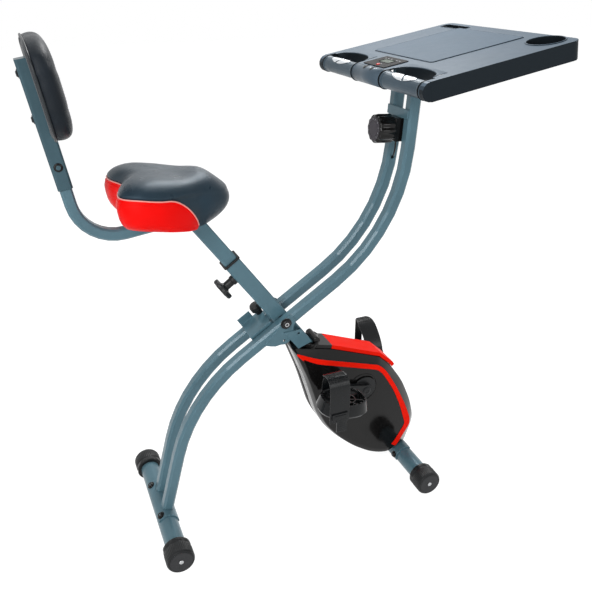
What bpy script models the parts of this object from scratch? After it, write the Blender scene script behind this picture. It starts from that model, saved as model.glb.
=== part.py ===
# Folding desk exercise bike, modelled in metres, +Z up, standing on the plane z = 0.
# +X points from the rider to the far edge of the desk and +Y to the rider's left.
# Two bent square tubes carry the desk. A straight post crosses between them on a pivot bolt.
# The post carries the drive housing, the cranks and, on a telescoping post, the seat.

import math

import bmesh
import bpy
from mathutils import Matrix, Vector

# Clearance between neighbouring pieces, and how far a cutter runs past what it cuts
GAP = 0.0003
PAST = 0.01

# Feet
FOOT_RADIUS = 0.025
FOOT_WALL = 0.002
FOOT_SPAN = 0.410
CAP_RADIUS = 0.035
CAP_LENGTH = 0.050
CAP_END = 0.012
CAP_SIDES = 12
REAR_FOOT_X = -0.400
FRONT_FOOT_X = 0.2955
SADDLE_THICK = 0.003
SADDLE_HALF_ANGLE = 75.0
SADDLE_HALF_WIDTH = 0.072
FOOT_BOLT_Y = 0.0600
FOOT_BOLT_ANGLE = 48.0
FOOT_BOLT_RADIUS = 0.0065
FOOT_BOLT_HEAD = 0.005

# Twin bent frame tubes
TUBE_SIDE = 0.028
TUBE_WALL = 0.0015
TUBE_CORNER = 0.005
TUBE_Y = 0.036
HEAD_X = 0.2643
HEAD_Z = 1.130
UPPER_CORNER_X = 0.240
UPPER_CORNER_Z = 0.730
UPPER_BEND = 0.400
LOWER_CORNER_X = -0.310
LOWER_CORNER_Z = 0.370
LOWER_BEND = 0.420
BEND_STEPS = 7

# Fold pivot, measured along the sloping tubes from the upper corner and above their centre line
PIVOT_ALONG = 0.361
PIVOT_ABOVE = 0.006
PIVOT_RADIUS = 0.006
PIVOT_HEAD_RADIUS = 0.0105
PIVOT_HEAD = 0.006
PIVOT_WASHER_RADIUS = 0.014
PIVOT_WASHER = 0.002
GUSSET_THICK = 0.002
GUSSET_RADIUS = 0.052
LOCK_HOLE_RADIUS = 0.0035
LOCK_HOLE_FROM_PIVOT = 0.047
FOLD_ANGLE = 50.0

# Main post and telescoping seat post
POST_SIDE = 0.040
POST_WALL = 0.002
POST_TOP = 0.201
COLLAR_SIDE = 0.045
COLLAR_HEIGHT = 0.005
SEAT_POST_SIDE = 0.035
SEAT_POST_WALL = 0.002
SEAT_POST_INSERT = 0.130
SEAT_POST_HOLE_RADIUS = 0.004
SEAT_POST_HOLES = 4
SEAT_POST_HOLE_STEP = 0.025

# Post cheeks beside the pivot, and the lock bracket that lands on the tubes
CHEEK_THICK = 0.0025
CHEEK_WIDTH = 0.037
CHEEK_START = 0.016
CHEEK_SLANT = 0.026
CHEEK_DROP = 0.081
CHEEK_WEB_TOP = 0.0595
LATCH_THICK = 0.003
LATCH_START = 0.026
LATCH_LENGTH = 0.063
LATCH_LIFT = 0.0045
LATCH_RIGHT_Y = 0.026
LATCH_LEFT_Y = 0.045
LATCH_RIB_Y = 0.0185
LATCH_RIB_DROP = 0.006
EAR_START = 0.052
EAR_HEIGHT = 0.019
LOCK_KNOB_BACK = 0.0325
LOCK_PIN_RADIUS = 0.0035
LOCK_PIN_CLEAR = 0.0018
LOCK_KNOB_RADIUS = 0.0145
LOCK_KNOB_LENGTH = 0.030
LOCK_PULL = 0.010

# Seat height knob on the rear face of the post
SEAT_KNOB_UP = 0.158
SEAT_KNOB_BOSS_RADIUS = 0.012
SEAT_KNOB_BOSS = 0.008
SEAT_KNOB_HUB_RADIUS = 0.010
SEAT_KNOB_DISC_RADIUS = 0.0275
SEAT_KNOB_DISC = 0.012
SEAT_KNOB_REACH = 0.043
SEAT_KNOB_LOBES = 6

# Drive housing, crank and resistance wheel, placed along and in front of the post
HOUSING_RIM_Y = 0.035
HOUSING_SHOULDER_Y = 0.057
HOUSING_PANEL_Y = 0.060
HOUSING_WALL = 0.0025
HOUSING_FOOT_CLEAR = 0.0015
STRIPE_WIDTH = 0.0125
STRIPE_THICK = 0.0010
STRIPE_LAST = 8
COVER_THICK = 0.010
COVER_RUN_DOWN = 0.16
CRANK_DOWN = 0.3215
CRANK_FORWARD = 0.0405
CRANK_HOLE_RADIUS = 0.030
CRANK_SHELL_RADIUS = 0.019
CRANK_SHELL_BORE = 0.0165
CRANK_SHELL_HALF = 0.034
CRANK_AXLE_RADIUS = 0.0085
CRANK_BEARING = 0.012
CRANK_LENGTH = 0.1045
CRANK_TILT = 165.0
CRANK_DISC_RADIUS = 0.034
CRANK_DISC = 0.0034
CRANK_ARM_IN = 0.0645
CRANK_ARM_OUT = 0.0770
CRANK_ARM_HUB_RADIUS = 0.017
CRANK_ARM_END_RADIUS = 0.0125
CRANK_PULLEY_RADIUS = 0.056
PULLEY_Y = 0.0430
PULLEY_WIDTH = 0.012
BELT_THICK = 0.002
BELT_WIDTH = 0.009
WHEEL_FOOT_CLEAR = 0.0382
FLYWHEEL_RADIUS = 0.075
FLYWHEEL_IN = 0.0235
FLYWHEEL_OUT = 0.0415
FLYWHEEL_AXLE_RADIUS = 0.006
FLYWHEEL_PULLEY_RADIUS = 0.0125
MAGNET_GAP = 0.003
MAGNET_THICK = 0.005
MAGNET_ARC_START = 35.0
MAGNET_ARC_END = 95.0

# Pedals and straps
SPINDLE_RADIUS = 0.0055
PEDAL_IN = 0.082
PEDAL_OUT = 0.184
PEDAL_LENGTH = 0.132
PEDAL_THICK = 0.034
PEDAL_TOP_SHARE = 0.90
PEDAL_RIM = 0.010
PEDAL_SPOKE = 0.005
PEDAL_BOSS = 0.011
PEDAL_PITCH = -8.0
STRAP_WIDTH = 0.052
STRAP_THICK = 0.0024
STRAP_RISE = 0.104
STRAP_TAIL = 0.044
STRAP_TAIL_WIDTH = 0.028
STRAP_TAIL_X = 0.006
RIGHT_STRAP_X = -0.034
LEFT_STRAP_X = 0.010
STRAP_SPINDLE_CLEAR = 0.0008

# Desk, on a plane that rises away from the rider
DESK_X = 0.1635
DESK_Z = 1.1137
DESK_TILT = 10.05
DESK_DEPTH = 0.3706
DESK_HALF_WIDTH = 0.2403
DESK_SKIRT = 0.040
DESK_WALL = 0.003
DESK_TOP_WALL = 0.0035
DESK_CORNER = 0.022
GRIP_DOWN = 0.020
BAR_RADIUS = 0.011
BAR_WALL = 0.0015
BARREL_HALF = 0.065
BARREL_RADIUS = 0.0195
CHEEK_NOSE_RADIUS = 0.0196
GRIP_IN = 0.0665
GRIP_OUT = 0.2255
GRIP_RADIUS = 0.018
GRIP_END_RADIUS = 0.0192
PULSE_IN = 0.100
PULSE_OUT = 0.190
PULSE_SPLIT = 0.005
PULSE_THICK = 0.0008
PULSE_HALF_ANGLE = 38.0
OPENING_IN = 0.070
OPENING_OUT = 0.215
OPENING_START = 0.0205
OPENING_END = 0.055
CONSOLE_START = 0.006
CONSOLE_END = 0.069
CONSOLE_HALF_WIDTH = 0.048
CONSOLE_FACE = 0.0015
CONSOLE_BOX_DEPTH = 0.0065
CONSOLE_BOX_HALF_WIDTH = 0.034
SCREEN_START = 0.033
SCREEN_END = 0.051
SCREEN_HALF_WIDTH = 0.020
BUTTON_S = 0.0156
BUTTON_Y = -0.006
BUTTON_RADIUS = 0.0045
BUTTON_TRAVEL = 0.0012
MAT_START = 0.090
MAT_END = 0.330
MAT_RIGHT_Y = -0.105
MAT_LEFT_Y = 0.142
MAT_THICK = 0.0012
CUP_S = 0.327
CUP_Y = -0.179
CUP_RADIUS = 0.040
CUP_WALL = 0.0025
CUP_DEPTH = 0.035
TRAY_S = 0.3405
TRAY_Y = 0.1725
TRAY_LENGTH = 0.098
TRAY_WIDTH = 0.026
TRAY_DEPTH = 0.016
BRACKET_START = 0.072
BRACKET_END = 0.232
BRACKET_HALF_WIDTH = 0.056
BRACKET_THICK = 0.003
BRACKET_DOWN = 0.0235
BOSS_RADIUS = 0.006
SCREW_RADIUS = 0.002
SCREW_HEAD_RADIUS = 0.0045
SCREW_HEAD = 0.003

# Resistance control on the tubes under the desk
TENSION_UP = 0.2405
TENSION_PLATE_RISE = 0.022
TENSION_PLATE_THICK = 0.003
TENSION_BLOCK_BACK = 0.0315
TENSION_BLOCK_FRONT = 0.0055
TENSION_BLOCK_HALF_HEIGHT = 0.027
TENSION_BLOCK_HALF_WIDTH = 0.0205
TENSION_KNOB_RADIUS = 0.034
TENSION_KNOB_LENGTH = 0.046
TENSION_SHAFT_RADIUS = 0.005
CABLE_RADIUS = 0.002

# Seat cushion with its coloured band, and the backrest
SEAT_MID_X = -0.310
SEAT_SEAM_Z = 0.903
SEAT_CROWN = 0.030
SEAT_SKIRT_Z = 0.842
SEAT_NOSE_DROP = 0.018
SEAT_NOSE_BULGE = 0.085
SEAT_REAR_RISE = 0.009
SEAT_UNDER_NOSE_Z = 0.806
SEAT_SKIRT_SHARE = 0.955
SEAT_NOSE_SHARE = 0.545
SKIRT_DROPS = (0.0, 0.35, 0.75, 1.0)
SKIRT_BULGES = (0.0, 0.012, 0.004, 0.0)
SEAT_STEPS = 2
BAND_THICK = 0.004
BAND_FRONT_X = -0.262
BAND_RUN_OUT = 0.070
BAND_TOP_DROP = 0.03
BAND_FALL = 0.85
SEAT_PLATE_THICK = 0.003
SEAT_PLATE_Z = 0.8365
SEAT_PLATE_FRONT_X = -0.243
SEAT_PLATE_REAR_X = -0.350
SEAT_PLATE_HALF_WIDTH = 0.045
ARM_SIDE = 0.025
ARM_WALL = 0.0015
ARM_FRONT_X = -0.270
ARM_FRONT_Z = 0.8241
ARM_CORNER_X = -0.499
ARM_CORNER_Z = 0.793
ARM_BEND = 0.090
BACK_TILT = 9.0
SLEEVE_SIDE = 0.030
SLEEVE_WALL = 0.002
SLEEVE_START = 0.1235
SLEEVE_LENGTH = 0.253
SLEEVE_OVERLAP = 0.110
PAD_UP = 0.321
PAD_HEIGHT = 0.185
PAD_WIDTH = 0.280
PAD_THICK = 0.047
PAD_SUNK = 0.011
PAD_CORNER = 0.075
BACK_BOLT_RADIUS = 0.006
BACK_BOLT_HEAD = 0.004

# Colours and finishes: colour, roughness, metallic
FINISHES = {
    "powder_coat": ((0.10, 0.16, 0.20), 0.42, 0.35),
    "black_plastic": ((0.012, 0.012, 0.013), 0.45, 0.0),
    "gloss_black": ((0.010, 0.010, 0.011), 0.16, 0.0),
    "red_plastic": ((0.75, 0.010, 0.006), 0.30, 0.0),
    "desk_plastic": ((0.16, 0.21, 0.26), 0.42, 0.0),
    "mat_plastic": ((0.22, 0.27, 0.31), 0.55, 0.0),
    "grip_foam": ((0.07, 0.10, 0.13), 0.60, 0.0),
    "chrome": ((0.80, 0.81, 0.82), 0.10, 1.0),
    "steel": ((0.55, 0.56, 0.57), 0.30, 1.0),
    "cast_metal": ((0.20, 0.20, 0.21), 0.50, 0.8),
    "rubber": ((0.020, 0.020, 0.021), 0.75, 0.0),
    "slate_vinyl": ((0.055, 0.070, 0.085), 0.42, 0.0),
    "red_vinyl": ((0.62, 0.006, 0.004), 0.38, 0.0),
    "screen_glass": ((0.23, 0.28, 0.23), 0.12, 0.0),
}

HOME = Matrix.Identity(4)


# Frames and lines

def line_frame(origin, direction):
    """A frame with local Z along a direction in the XZ plane and local Y along world Y."""
    up = direction.normalized()
    side = Vector((0.0, 1.0, 0.0))
    front = side.cross(up)
    frame = Matrix((front, side, up)).transposed().to_4x4()
    frame.translation = origin
    return frame


def xz(x, z):
    return Vector((x, 0.0, z))


UPPER_CORNER = xz(UPPER_CORNER_X, UPPER_CORNER_Z)
LOWER_CORNER = xz(LOWER_CORNER_X, LOWER_CORNER_Z)
SLOPE = (LOWER_CORNER - UPPER_CORNER).normalized()
SLOPE_UP = xz(SLOPE.z, -SLOPE.x)
PIVOT_FOOT = UPPER_CORNER + SLOPE * PIVOT_ALONG
PIVOT = PIVOT_FOOT + SLOPE_UP * PIVOT_ABOVE
REAR_FOOT = xz(REAR_FOOT_X, CAP_RADIUS)
FRONT_FOOT = xz(FRONT_FOOT_X, CAP_RADIUS)
HEAD = xz(HEAD_X, HEAD_Z)

# Post frame: origin on the pivot, Z up the post, X to its front face
POST_FRAME = line_frame(PIVOT, PIVOT - FRONT_FOOT)
POST_LENGTH = (PIVOT - FRONT_FOOT).length

# Slope frame: origin under the pivot on the tubes' centre line, Z square to the tubes, X up them
SLOPE_FRAME = line_frame(PIVOT_FOOT, SLOPE_UP)

# Head frame: origin at the upper corner, Z up the tubes' top stretch
HEAD_FRAME = line_frame(UPPER_CORNER, HEAD - UPPER_CORNER)

# Desk frame: origin on the top face at the rider's edge, X along the top, Z square to it
DESK_FRAME = Matrix.Translation(xz(DESK_X, DESK_Z)) @ Matrix.Rotation(-math.radians(DESK_TILT), 4, "Y")

# Back frame: origin at the arm's lower corner, Z up the backrest, X towards the rider
BACK_FRAME = line_frame(xz(ARM_CORNER_X, ARM_CORNER_Z),
                        xz(-math.sin(math.radians(BACK_TILT)), math.cos(math.radians(BACK_TILT))))

CRANK = POST_FRAME @ xz(CRANK_FORWARD, -CRANK_DOWN)
WHEEL_FROM_FOOT = FOOT_RADIUS + GAP + SADDLE_THICK + WHEEL_FOOT_CLEAR + FLYWHEEL_RADIUS
FLYWHEEL_CENTRE = POST_FRAME @ xz(0.0, WHEEL_FROM_FOOT - POST_LENGTH)
MAGNET_PIVOT_RADIUS = FLYWHEEL_RADIUS + MAGNET_GAP + MAGNET_THICK / 2
MAGNET_PIVOT = FLYWHEEL_CENTRE + MAGNET_PIVOT_RADIUS * xz(
    math.cos(math.radians(MAGNET_ARC_END)), math.sin(math.radians(MAGNET_ARC_END)))


def pedal_centre(side):
    """Pedal centre for side -1 (right) or +1 (left); the cranks point opposite ways."""
    angle = math.radians(CRANK_TILT)
    reach = -side * CRANK_LENGTH * xz(math.cos(angle), math.sin(angle))
    return CRANK + reach + Vector((0.0, side * (PEDAL_IN + PEDAL_OUT) / 2, 0.0))


# Outlines

def ring(radius, sides, phase=0.0):
    step = 2 * math.pi / sides
    return [(radius * math.cos(phase + i * step), radius * math.sin(phase + i * step)) for i in range(sides)]


def arc(centre, radius, start, end, steps):
    """Points on an arc, angles in degrees."""
    points = []
    for i in range(steps + 1):
        angle = math.radians(start + (end - start) * i / steps)
        points.append((centre[0] + radius * math.cos(angle), centre[1] + radius * math.sin(angle)))
    return points


def rounded_rect(low, high, radius, steps=3):
    """A rounded rectangle between two corners, anticlockwise."""
    corners = ((high[0], high[1], 0), (low[0], high[1], 90), (low[0], low[1], 180), (high[0], low[1], 270))
    points = []
    for x, y, start in corners:
        centre = (x - math.copysign(radius, x - (low[0] + high[0]) / 2),
                  y - math.copysign(radius, y - (low[1] + high[1]) / 2))
        points += arc(centre, radius, start, start + 90, steps)
    return points


def inset(outline, distance):
    """Move every edge of a closed anticlockwise outline inwards by a distance."""
    moved = []
    count = len(outline)
    for i in range(count):
        before = Vector(outline[i - 1])
        here = Vector(outline[i])
        after = Vector(outline[(i + 1) % count])
        edge_in = (here - before).normalized()
        edge_out = (after - here).normalized()
        normal_in = Vector((-edge_in.y, edge_in.x))
        normal_out = Vector((-edge_out.y, edge_out.x))
        bisector = (normal_in + normal_out).normalized()
        moved.append(tuple(here + bisector * distance / bisector.dot(normal_in)))
    return moved


def smooth_loop(points, steps):
    """A closed Catmull-Rom curve through the points, with a number of steps between each pair."""
    result = []
    count = len(points)
    for i in range(count):
        a, b, c, d = (Vector(points[(i + k) % count]) for k in (-1, 0, 1, 2))
        for s in range(steps):
            t = s / steps
            result.append(0.5 * ((2 * b) + (c - a) * t + (2 * a - 5 * b + 4 * c - d) * t * t
                                 + (3 * b - 3 * c + d - a) * t * t * t))
    return result


def smooth_step(value):
    value = min(max(value, 0.0), 1.0)
    return value * value * (3 - 2 * value)


# Solids

def close(bm):
    bmesh.ops.recalc_face_normals(bm, faces=bm.faces)
    return bm


def loft(rings, bore_rings=None):
    """A solid through rings of 3D points; with bore rings it is a tube open at both ends."""
    bm = bmesh.new()

    def skin(levels):
        rows = [[bm.verts.new(point) for point in level] for level in levels]
        for low, high in zip(rows, rows[1:]):
            for i in range(len(low)):
                j = (i + 1) % len(low)
                bm.faces.new((low[i], low[j], high[j], high[i]))
        return rows[0], rows[-1]

    first, last = skin(rings)
    if bore_rings is None:
        bm.faces.new(first)
        bm.faces.new(last)
        return close(bm)
    inner_first, inner_last = skin(bore_rings)
    for outer, inner in ((first, inner_first), (last, inner_last)):
        for i in range(len(outer)):
            j = (i + 1) % len(outer)
            bm.faces.new((outer[i], outer[j], inner[j], inner[i]))
    return close(bm)


def extrude(outline, low, high, holes=(), axis="Y"):
    """A plate with the outline in XZ (axis Y), XY (axis Z) or YZ (axis X), and through holes."""
    bm = bmesh.new()

    def place(point, level):
        if axis == "Y":
            return (point[0], level, point[1])
        if axis == "Z":
            return (point[0], point[1], level)
        return (level, point[0], point[1])

    edges = []
    for loop in (outline, *holes):
        verts = [bm.verts.new(place(point, low)) for point in loop]
        edges += [bm.edges.new((verts[i - 1], verts[i])) for i in range(len(verts))]
    faces = bmesh.ops.triangle_fill(bm, use_beauty=True, use_dissolve=False, edges=edges)["geom"]
    faces = [item for item in faces if isinstance(item, bmesh.types.BMFace)]
    raised = bmesh.ops.extrude_face_region(bm, geom=faces, use_keep_orig=True)["geom"]
    shift = Vector(place((0.0, 0.0), high - low))
    bmesh.ops.translate(bm, verts=[item for item in raised if isinstance(item, bmesh.types.BMVert)], vec=shift)
    return close(bm)


def box(low, high):
    return extrude([(low[0], low[1]), (high[0], low[1]), (high[0], high[1]), (low[0], high[1])],
                   low[2], high[2], axis="Z")


def turned(profile, sides, axis="Y"):
    """A turned solid from (radius, along) pairs, closed on the axis or, if no radius is 0, as a ring."""
    bm = bmesh.new()
    rows = []
    for radius, along in profile:
        points = ring(radius, sides) if radius > 0 else [(0.0, 0.0)]
        if axis == "Y":
            rows.append([bm.verts.new((x, along, z)) for x, z in points])
        elif axis == "X":
            rows.append([bm.verts.new((along, x, z)) for x, z in points])
        else:
            rows.append([bm.verts.new((x, z, along)) for x, z in points])
    pairs = list(zip(rows, rows[1:]))
    if len(rows[0]) > 1 and len(rows[-1]) > 1:
        pairs.append((rows[-1], rows[0]))
    for low, high in pairs:
        for i in range(sides):
            j = (i + 1) % sides
            corners = []
            for vert in (low[i % len(low)], low[j % len(low)], high[j % len(high)], high[i % len(high)]):
                if vert not in corners:
                    corners.append(vert)
            bm.faces.new(corners)
    return close(bm)


def shaft(radius, low, high, sides, axis="Y"):
    return turned([(0.0, low), (radius, low), (radius, high), (0.0, high)], sides, axis)


def moved(bm, matrix):
    bm.transform(matrix)
    return bm


def centre_line(points, bends, steps):
    """Points and directions along straight runs in XZ with an arc at each inner corner."""
    line = [(points[0], (points[1] - points[0]).normalized())]
    for i, radius in enumerate(bends, start=1):
        arriving = (points[i] - points[i - 1]).normalized()
        leaving = (points[i + 1] - points[i]).normalized()
        turn = arriving.angle(leaving)
        tangent = radius * math.tan(turn / 2)
        start = points[i] - arriving * tangent
        side = (leaving - arriving * arriving.dot(leaving)).normalized()
        centre = start + side * radius
        for s in range(steps + 1):
            angle = turn * s / steps
            here = centre - side * radius * math.cos(angle) + arriving * radius * math.sin(angle)
            along = arriving * math.cos(angle) + side * math.sin(angle)
            line.append((here, along))
    line.append((points[-1], (points[-1] - points[-2]).normalized()))
    return line


def square_tube(line, side, corner, wall, y=0.0, corner_steps=2):
    """An open square tube swept along a line in XZ."""
    def rings(half, radius, steps):
        section = rounded_rect((-half, -half), (half, half), radius, steps)
        levels = []
        for here, along in line:
            normal = xz(along.z, -along.x)
            levels.append([here + Vector((0.0, y + across, 0.0)) + normal * out for across, out in section])
        return levels

    inner_radius = max(corner - wall, corner * 0.3)
    return loft(rings(side / 2, corner, corner_steps), rings(side / 2 - wall, inner_radius, corner_steps))


# Scene helpers

def clear_scene():
    for obj in list(bpy.data.objects):
        bpy.data.objects.remove(obj, do_unlink=True)


def finish_of(name):
    existing = bpy.data.materials.get(name)
    if existing:
        return existing
    colour, roughness, metallic = FINISHES[name]
    material = bpy.data.materials.new(name)
    material.use_nodes = True
    shader = material.node_tree.nodes["Principled BSDF"]
    shader.inputs["Base Color"].default_value = (*colour, 1.0)
    shader.inputs["Roughness"].default_value = roughness
    shader.inputs["Metallic"].default_value = metallic
    material.diffuse_color = (*colour, 1.0)
    return material


def empty(name, parent, frame):
    """An empty whose place is given in the design frame."""
    obj = bpy.data.objects.new(name, None)
    bpy.context.scene.collection.objects.link(obj)
    set_place(obj, parent, frame)
    return obj


def set_place(obj, parent, frame):
    obj["design"] = [value for row in frame for value in row]
    if parent is None:
        obj.matrix_basis = frame
        return
    obj.parent = parent
    obj.matrix_basis = design_of(parent).inverted() @ frame


def design_of(obj):
    values = list(obj["design"])
    return Matrix((values[0:4], values[4:8], values[8:12], values[12:16]))


def node(name, bm, finish, parent, frame=HOME, origin=None):
    """An object from a mesh in local coordinates of a frame, with its origin at a local point."""
    if origin is not None:
        bm.transform(Matrix.Translation(-origin))
        frame = frame @ Matrix.Translation(origin)
    mesh = bpy.data.meshes.new(name)
    bm.to_mesh(mesh)
    bm.free()
    mesh.shade_smooth()
    mesh.set_sharp_from_angle(angle=math.radians(35))
    mesh.materials.append(finish_of(finish))
    obj = bpy.data.objects.new(name, mesh)
    bpy.context.scene.collection.objects.link(obj)
    set_place(obj, parent, frame)
    return obj


def tool(name, bm, parent, frame=HOME):
    """A hidden body for a Boolean."""
    obj = node(name, bm, "steel", parent, frame)
    obj.hide_render = True
    obj.display_type = "WIRE"
    return obj


def combine(obj, other, operation):
    modifier = obj.modifiers.new(operation.title(), "BOOLEAN")
    modifier.operation = operation
    modifier.solver = "EXACT"
    modifier.object = other
    return obj


def cut(obj, *others):
    for other in others:
        combine(obj, other, "DIFFERENCE")
    return obj


def add(obj, *others):
    for other in others:
        combine(obj, other, "UNION")
    return obj


# Feet

def foot_tube(name, foot, parent):
    half = FOOT_SPAN / 2 - CAP_END - GAP
    bore = FOOT_RADIUS - FOOT_WALL
    profile = [(bore, -half), (bore, half), (FOOT_RADIUS, half), (FOOT_RADIUS, -half)]
    return node(name, turned(profile, 28), "powder_coat", parent, Matrix.Translation(foot))


def foot_cap(name, foot, side, parent):
    """A faceted end cap with a flat facet down, bored to take the foot tube."""
    outer = ring(CAP_RADIUS / math.cos(math.pi / CAP_SIDES), CAP_SIDES, math.pi / CAP_SIDES)
    end = side * FOOT_SPAN / 2
    start = side * (FOOT_SPAN / 2 - CAP_LENGTH)
    bore_end = side * (FOOT_SPAN / 2 - CAP_END)
    bore_radius = FOOT_RADIUS + GAP
    bevel = 0.003
    narrow = (CAP_RADIUS - bevel) / CAP_RADIUS
    levels = [(start, 1.0), (end - side * bevel, 1.0), (end, narrow)]
    outside = [[(x * scale, y, z * scale) for x, z in outer] for y, scale in levels]
    bore = ring(bore_radius / math.cos(math.pi / CAP_SIDES), CAP_SIDES, math.pi / CAP_SIDES)
    bm = bmesh.new()
    rows = [[bm.verts.new(point) for point in level] for level in outside]
    rows.insert(0, [bm.verts.new((x, start, z)) for x, z in bore])
    rows.insert(0, [bm.verts.new((x, bore_end, z)) for x, z in bore])
    for low, high in zip(rows, rows[1:]):
        for i in range(CAP_SIDES):
            j = (i + 1) % CAP_SIDES
            bm.faces.new((low[i], low[j], high[j], high[i]))
    bm.faces.new(rows[0])
    bm.faces.new(rows[-1])
    return node(name, close(bm), "black_plastic", parent, Matrix.Translation(foot))


def saddle_outline(toward):
    """Half ring over the foot tube, open away from the tube that lands on it."""
    inner = FOOT_RADIUS + GAP
    outer = inner + SADDLE_THICK
    heading = math.degrees(math.atan2(toward.z, toward.x))
    low = heading - SADDLE_HALF_ANGLE
    high = heading + SADDLE_HALF_ANGLE
    return arc((0, 0), outer, low, high, 14) + arc((0, 0), inner, high, low, 14)


def foot_saddle(name, foot, toward, lean, parent):
    """Saddle over the foot tube with two bolts, either side of the tube that lands on it."""
    frame = Matrix.Translation(foot)
    body = node(name, extrude(saddle_outline(toward), -SADDLE_HALF_WIDTH, SADDLE_HALF_WIDTH), "powder_coat",
                parent, frame)
    heading = math.atan2(toward.z, toward.x) + math.radians(lean)
    seat = FOOT_RADIUS + GAP + SADDLE_THICK
    profile = [(0.0, seat - SADDLE_THICK / 2), (FOOT_BOLT_RADIUS, seat - SADDLE_THICK / 2),
               (FOOT_BOLT_RADIUS, seat + FOOT_BOLT_HEAD * 0.6),
               (FOOT_BOLT_RADIUS * 0.75, seat + FOOT_BOLT_HEAD), (0.0, seat + FOOT_BOLT_HEAD)]
    for word, side in (("right", -1), ("left", 1)):
        place = Matrix.Translation((0, side * FOOT_BOLT_Y, 0)) @ Matrix.Rotation(math.pi / 2 - heading, 4, "Y")
        add(body, tool(name + "_" + word + "_bolt", turned(profile, 12, "Z"), parent, frame @ place))
    return body


def foot_notch(name, foot, parent):
    """Cutter that shapes a tube's end to the saddle."""
    radius = FOOT_RADIUS + GAP + SADDLE_THICK + GAP
    return tool(name, shaft(radius / math.cos(math.pi / 28), -0.1, 0.1, 28), parent, Matrix.Translation(foot))


# Frame tubes and pivot

def frame_tubes(parent, notch, lock_hole, cable_hole):
    line = centre_line([HEAD, UPPER_CORNER, LOWER_CORNER, REAR_FOOT], [UPPER_BEND, LOWER_BEND], BEND_STEPS)
    reach = (HEAD - DESK_FRAME.translation).length + 2 * TUBE_SIDE
    top = tool("head_trim", box((-reach, -reach, -BRACKET_DOWN - BRACKET_THICK - GAP), (reach, reach, reach)),
               parent, DESK_FRAME)
    bore = PIVOT_RADIUS + GAP
    pivot_bore = tool("pivot_bore", shaft(bore, -0.1, 0.1, 16), parent, Matrix.Translation(PIVOT))
    for name, side in (("right_frame_tube", -1), ("left_frame_tube", 1)):
        bm = square_tube(line, TUBE_SIDE, TUBE_CORNER, TUBE_WALL, side * TUBE_Y, corner_steps=1)
        tube = node(name, bm, "powder_coat", parent)
        add(tube, tool(name + "_gusset", gusset(side), parent, Matrix.Translation(PIVOT)))
        cut(tube, notch, top, pivot_bore)
        if side > 0:
            cut(tube, lock_hole, cable_hole)
    return pivot_bore


def gusset(side):
    """One gusset with its pivot hole and the hole that a storage pin goes through."""
    outer = TUBE_Y + TUBE_SIDE / 2
    around = math.radians(-95.7)
    spot = (LOCK_HOLE_FROM_PIVOT * math.cos(around), LOCK_HOLE_FROM_PIVOT * math.sin(around))
    hole = [(x + spot[0], z + spot[1]) for x, z in ring(LOCK_HOLE_RADIUS, 10)]
    levels = sorted((side * (outer - TUBE_WALL / 2), side * (outer + GUSSET_THICK)))
    hub = arc((0, 0), 0.024, 62, -30, 6)
    top_left = SLOPE * 0.075 + SLOPE_UP * -0.010
    outline = [(top_left.x, top_left.z), *hub, (0.018, -0.036), (0.010, -0.0505), (0.0035, -0.0555), (-0.0045, -0.0575),
               (-0.014, -0.0565), (-0.0275, -0.0585), (-0.040, -0.0555), (-0.052, -0.0515), (-0.0665, -0.0555)]
    return extrude(outline, levels[0], levels[1], [ring(PIVOT_RADIUS + GAP, 16), hole])


def pivot_bolt(parent):
    half = TUBE_Y + TUBE_SIDE / 2 + GUSSET_THICK + GAP
    radius = PIVOT_RADIUS
    end = half + PIVOT_WASHER + PIVOT_HEAD
    profile = [(0.0, -end), (PIVOT_HEAD_RADIUS * 0.8, -end), (PIVOT_HEAD_RADIUS, -end + 0.002),
               (PIVOT_HEAD_RADIUS, -half - PIVOT_WASHER), (PIVOT_WASHER_RADIUS, -half - PIVOT_WASHER),
               (PIVOT_WASHER_RADIUS, -half), (radius, -half), (radius, half),
               (PIVOT_WASHER_RADIUS, half), (PIVOT_WASHER_RADIUS, half + PIVOT_WASHER),
               (PIVOT_HEAD_RADIUS, half + PIVOT_WASHER), (PIVOT_HEAD_RADIUS, end - 0.002),
               (PIVOT_HEAD_RADIUS * 0.8, end), (0.0, end)]
    return node("pivot_bolt", turned(profile, 16), "black_plastic", parent, Matrix.Translation(PIVOT))


# Post, cheeks and lock bracket

def main_post(parent, pivot_bore, notch):
    low = -POST_LENGTH
    half = POST_SIDE / 2
    inner = half - POST_WALL
    outline = rounded_rect((-half, -half), (half, half), 0.003, 1)
    bore = rounded_rect((-inner, -inner), (inner, inner), 0.001, 1)
    rings = [[(x, y, z) for x, y in outline] for z in (low, POST_TOP)]
    bores = [[(x, y, z) for x, y in bore] for z in (low, POST_TOP)]
    post = node("main_post", loft(rings, bores), "powder_coat", parent, POST_FRAME)
    pin_hole = tool("seat_pin_hole", shaft(SEAT_POST_HOLE_RADIUS + 2 * GAP, -half - PAST, 0.0, 12, "X"),
                    parent, POST_FRAME @ Matrix.Translation((0, 0, SEAT_KNOB_UP)))
    axle_hole = tool("axle_hole", shaft(FLYWHEEL_AXLE_RADIUS + 2 * GAP, -0.1, 0.1, 20),
                     parent, Matrix.Translation(FLYWHEEL_CENTRE))
    add(post, tool("magnet_lug", magnet_lug(), parent))
    cut(post, notch, pivot_bore, pin_hole, axle_hole)
    return post


def post_collar(parent):
    """Plastic bush on the post's top end, a close fit round the seat post."""
    half = COLLAR_SIDE / 2
    inner = SEAT_POST_SIDE / 2 + GAP
    outline = rounded_rect((-half, -half), (half, half), 0.004, 1)
    bore = rounded_rect((-inner, -inner), (inner, inner), 0.003, 1)
    low = POST_TOP + GAP
    rings = [[(x, y, z) for x, y in outline] for z in (low, low + COLLAR_HEIGHT)]
    bores = [[(x, y, z) for x, y in bore] for z in (low, low + COLLAR_HEIGHT)]
    return node("post_collar", loft(rings, bores), "black_plastic", parent, POST_FRAME)


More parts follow.
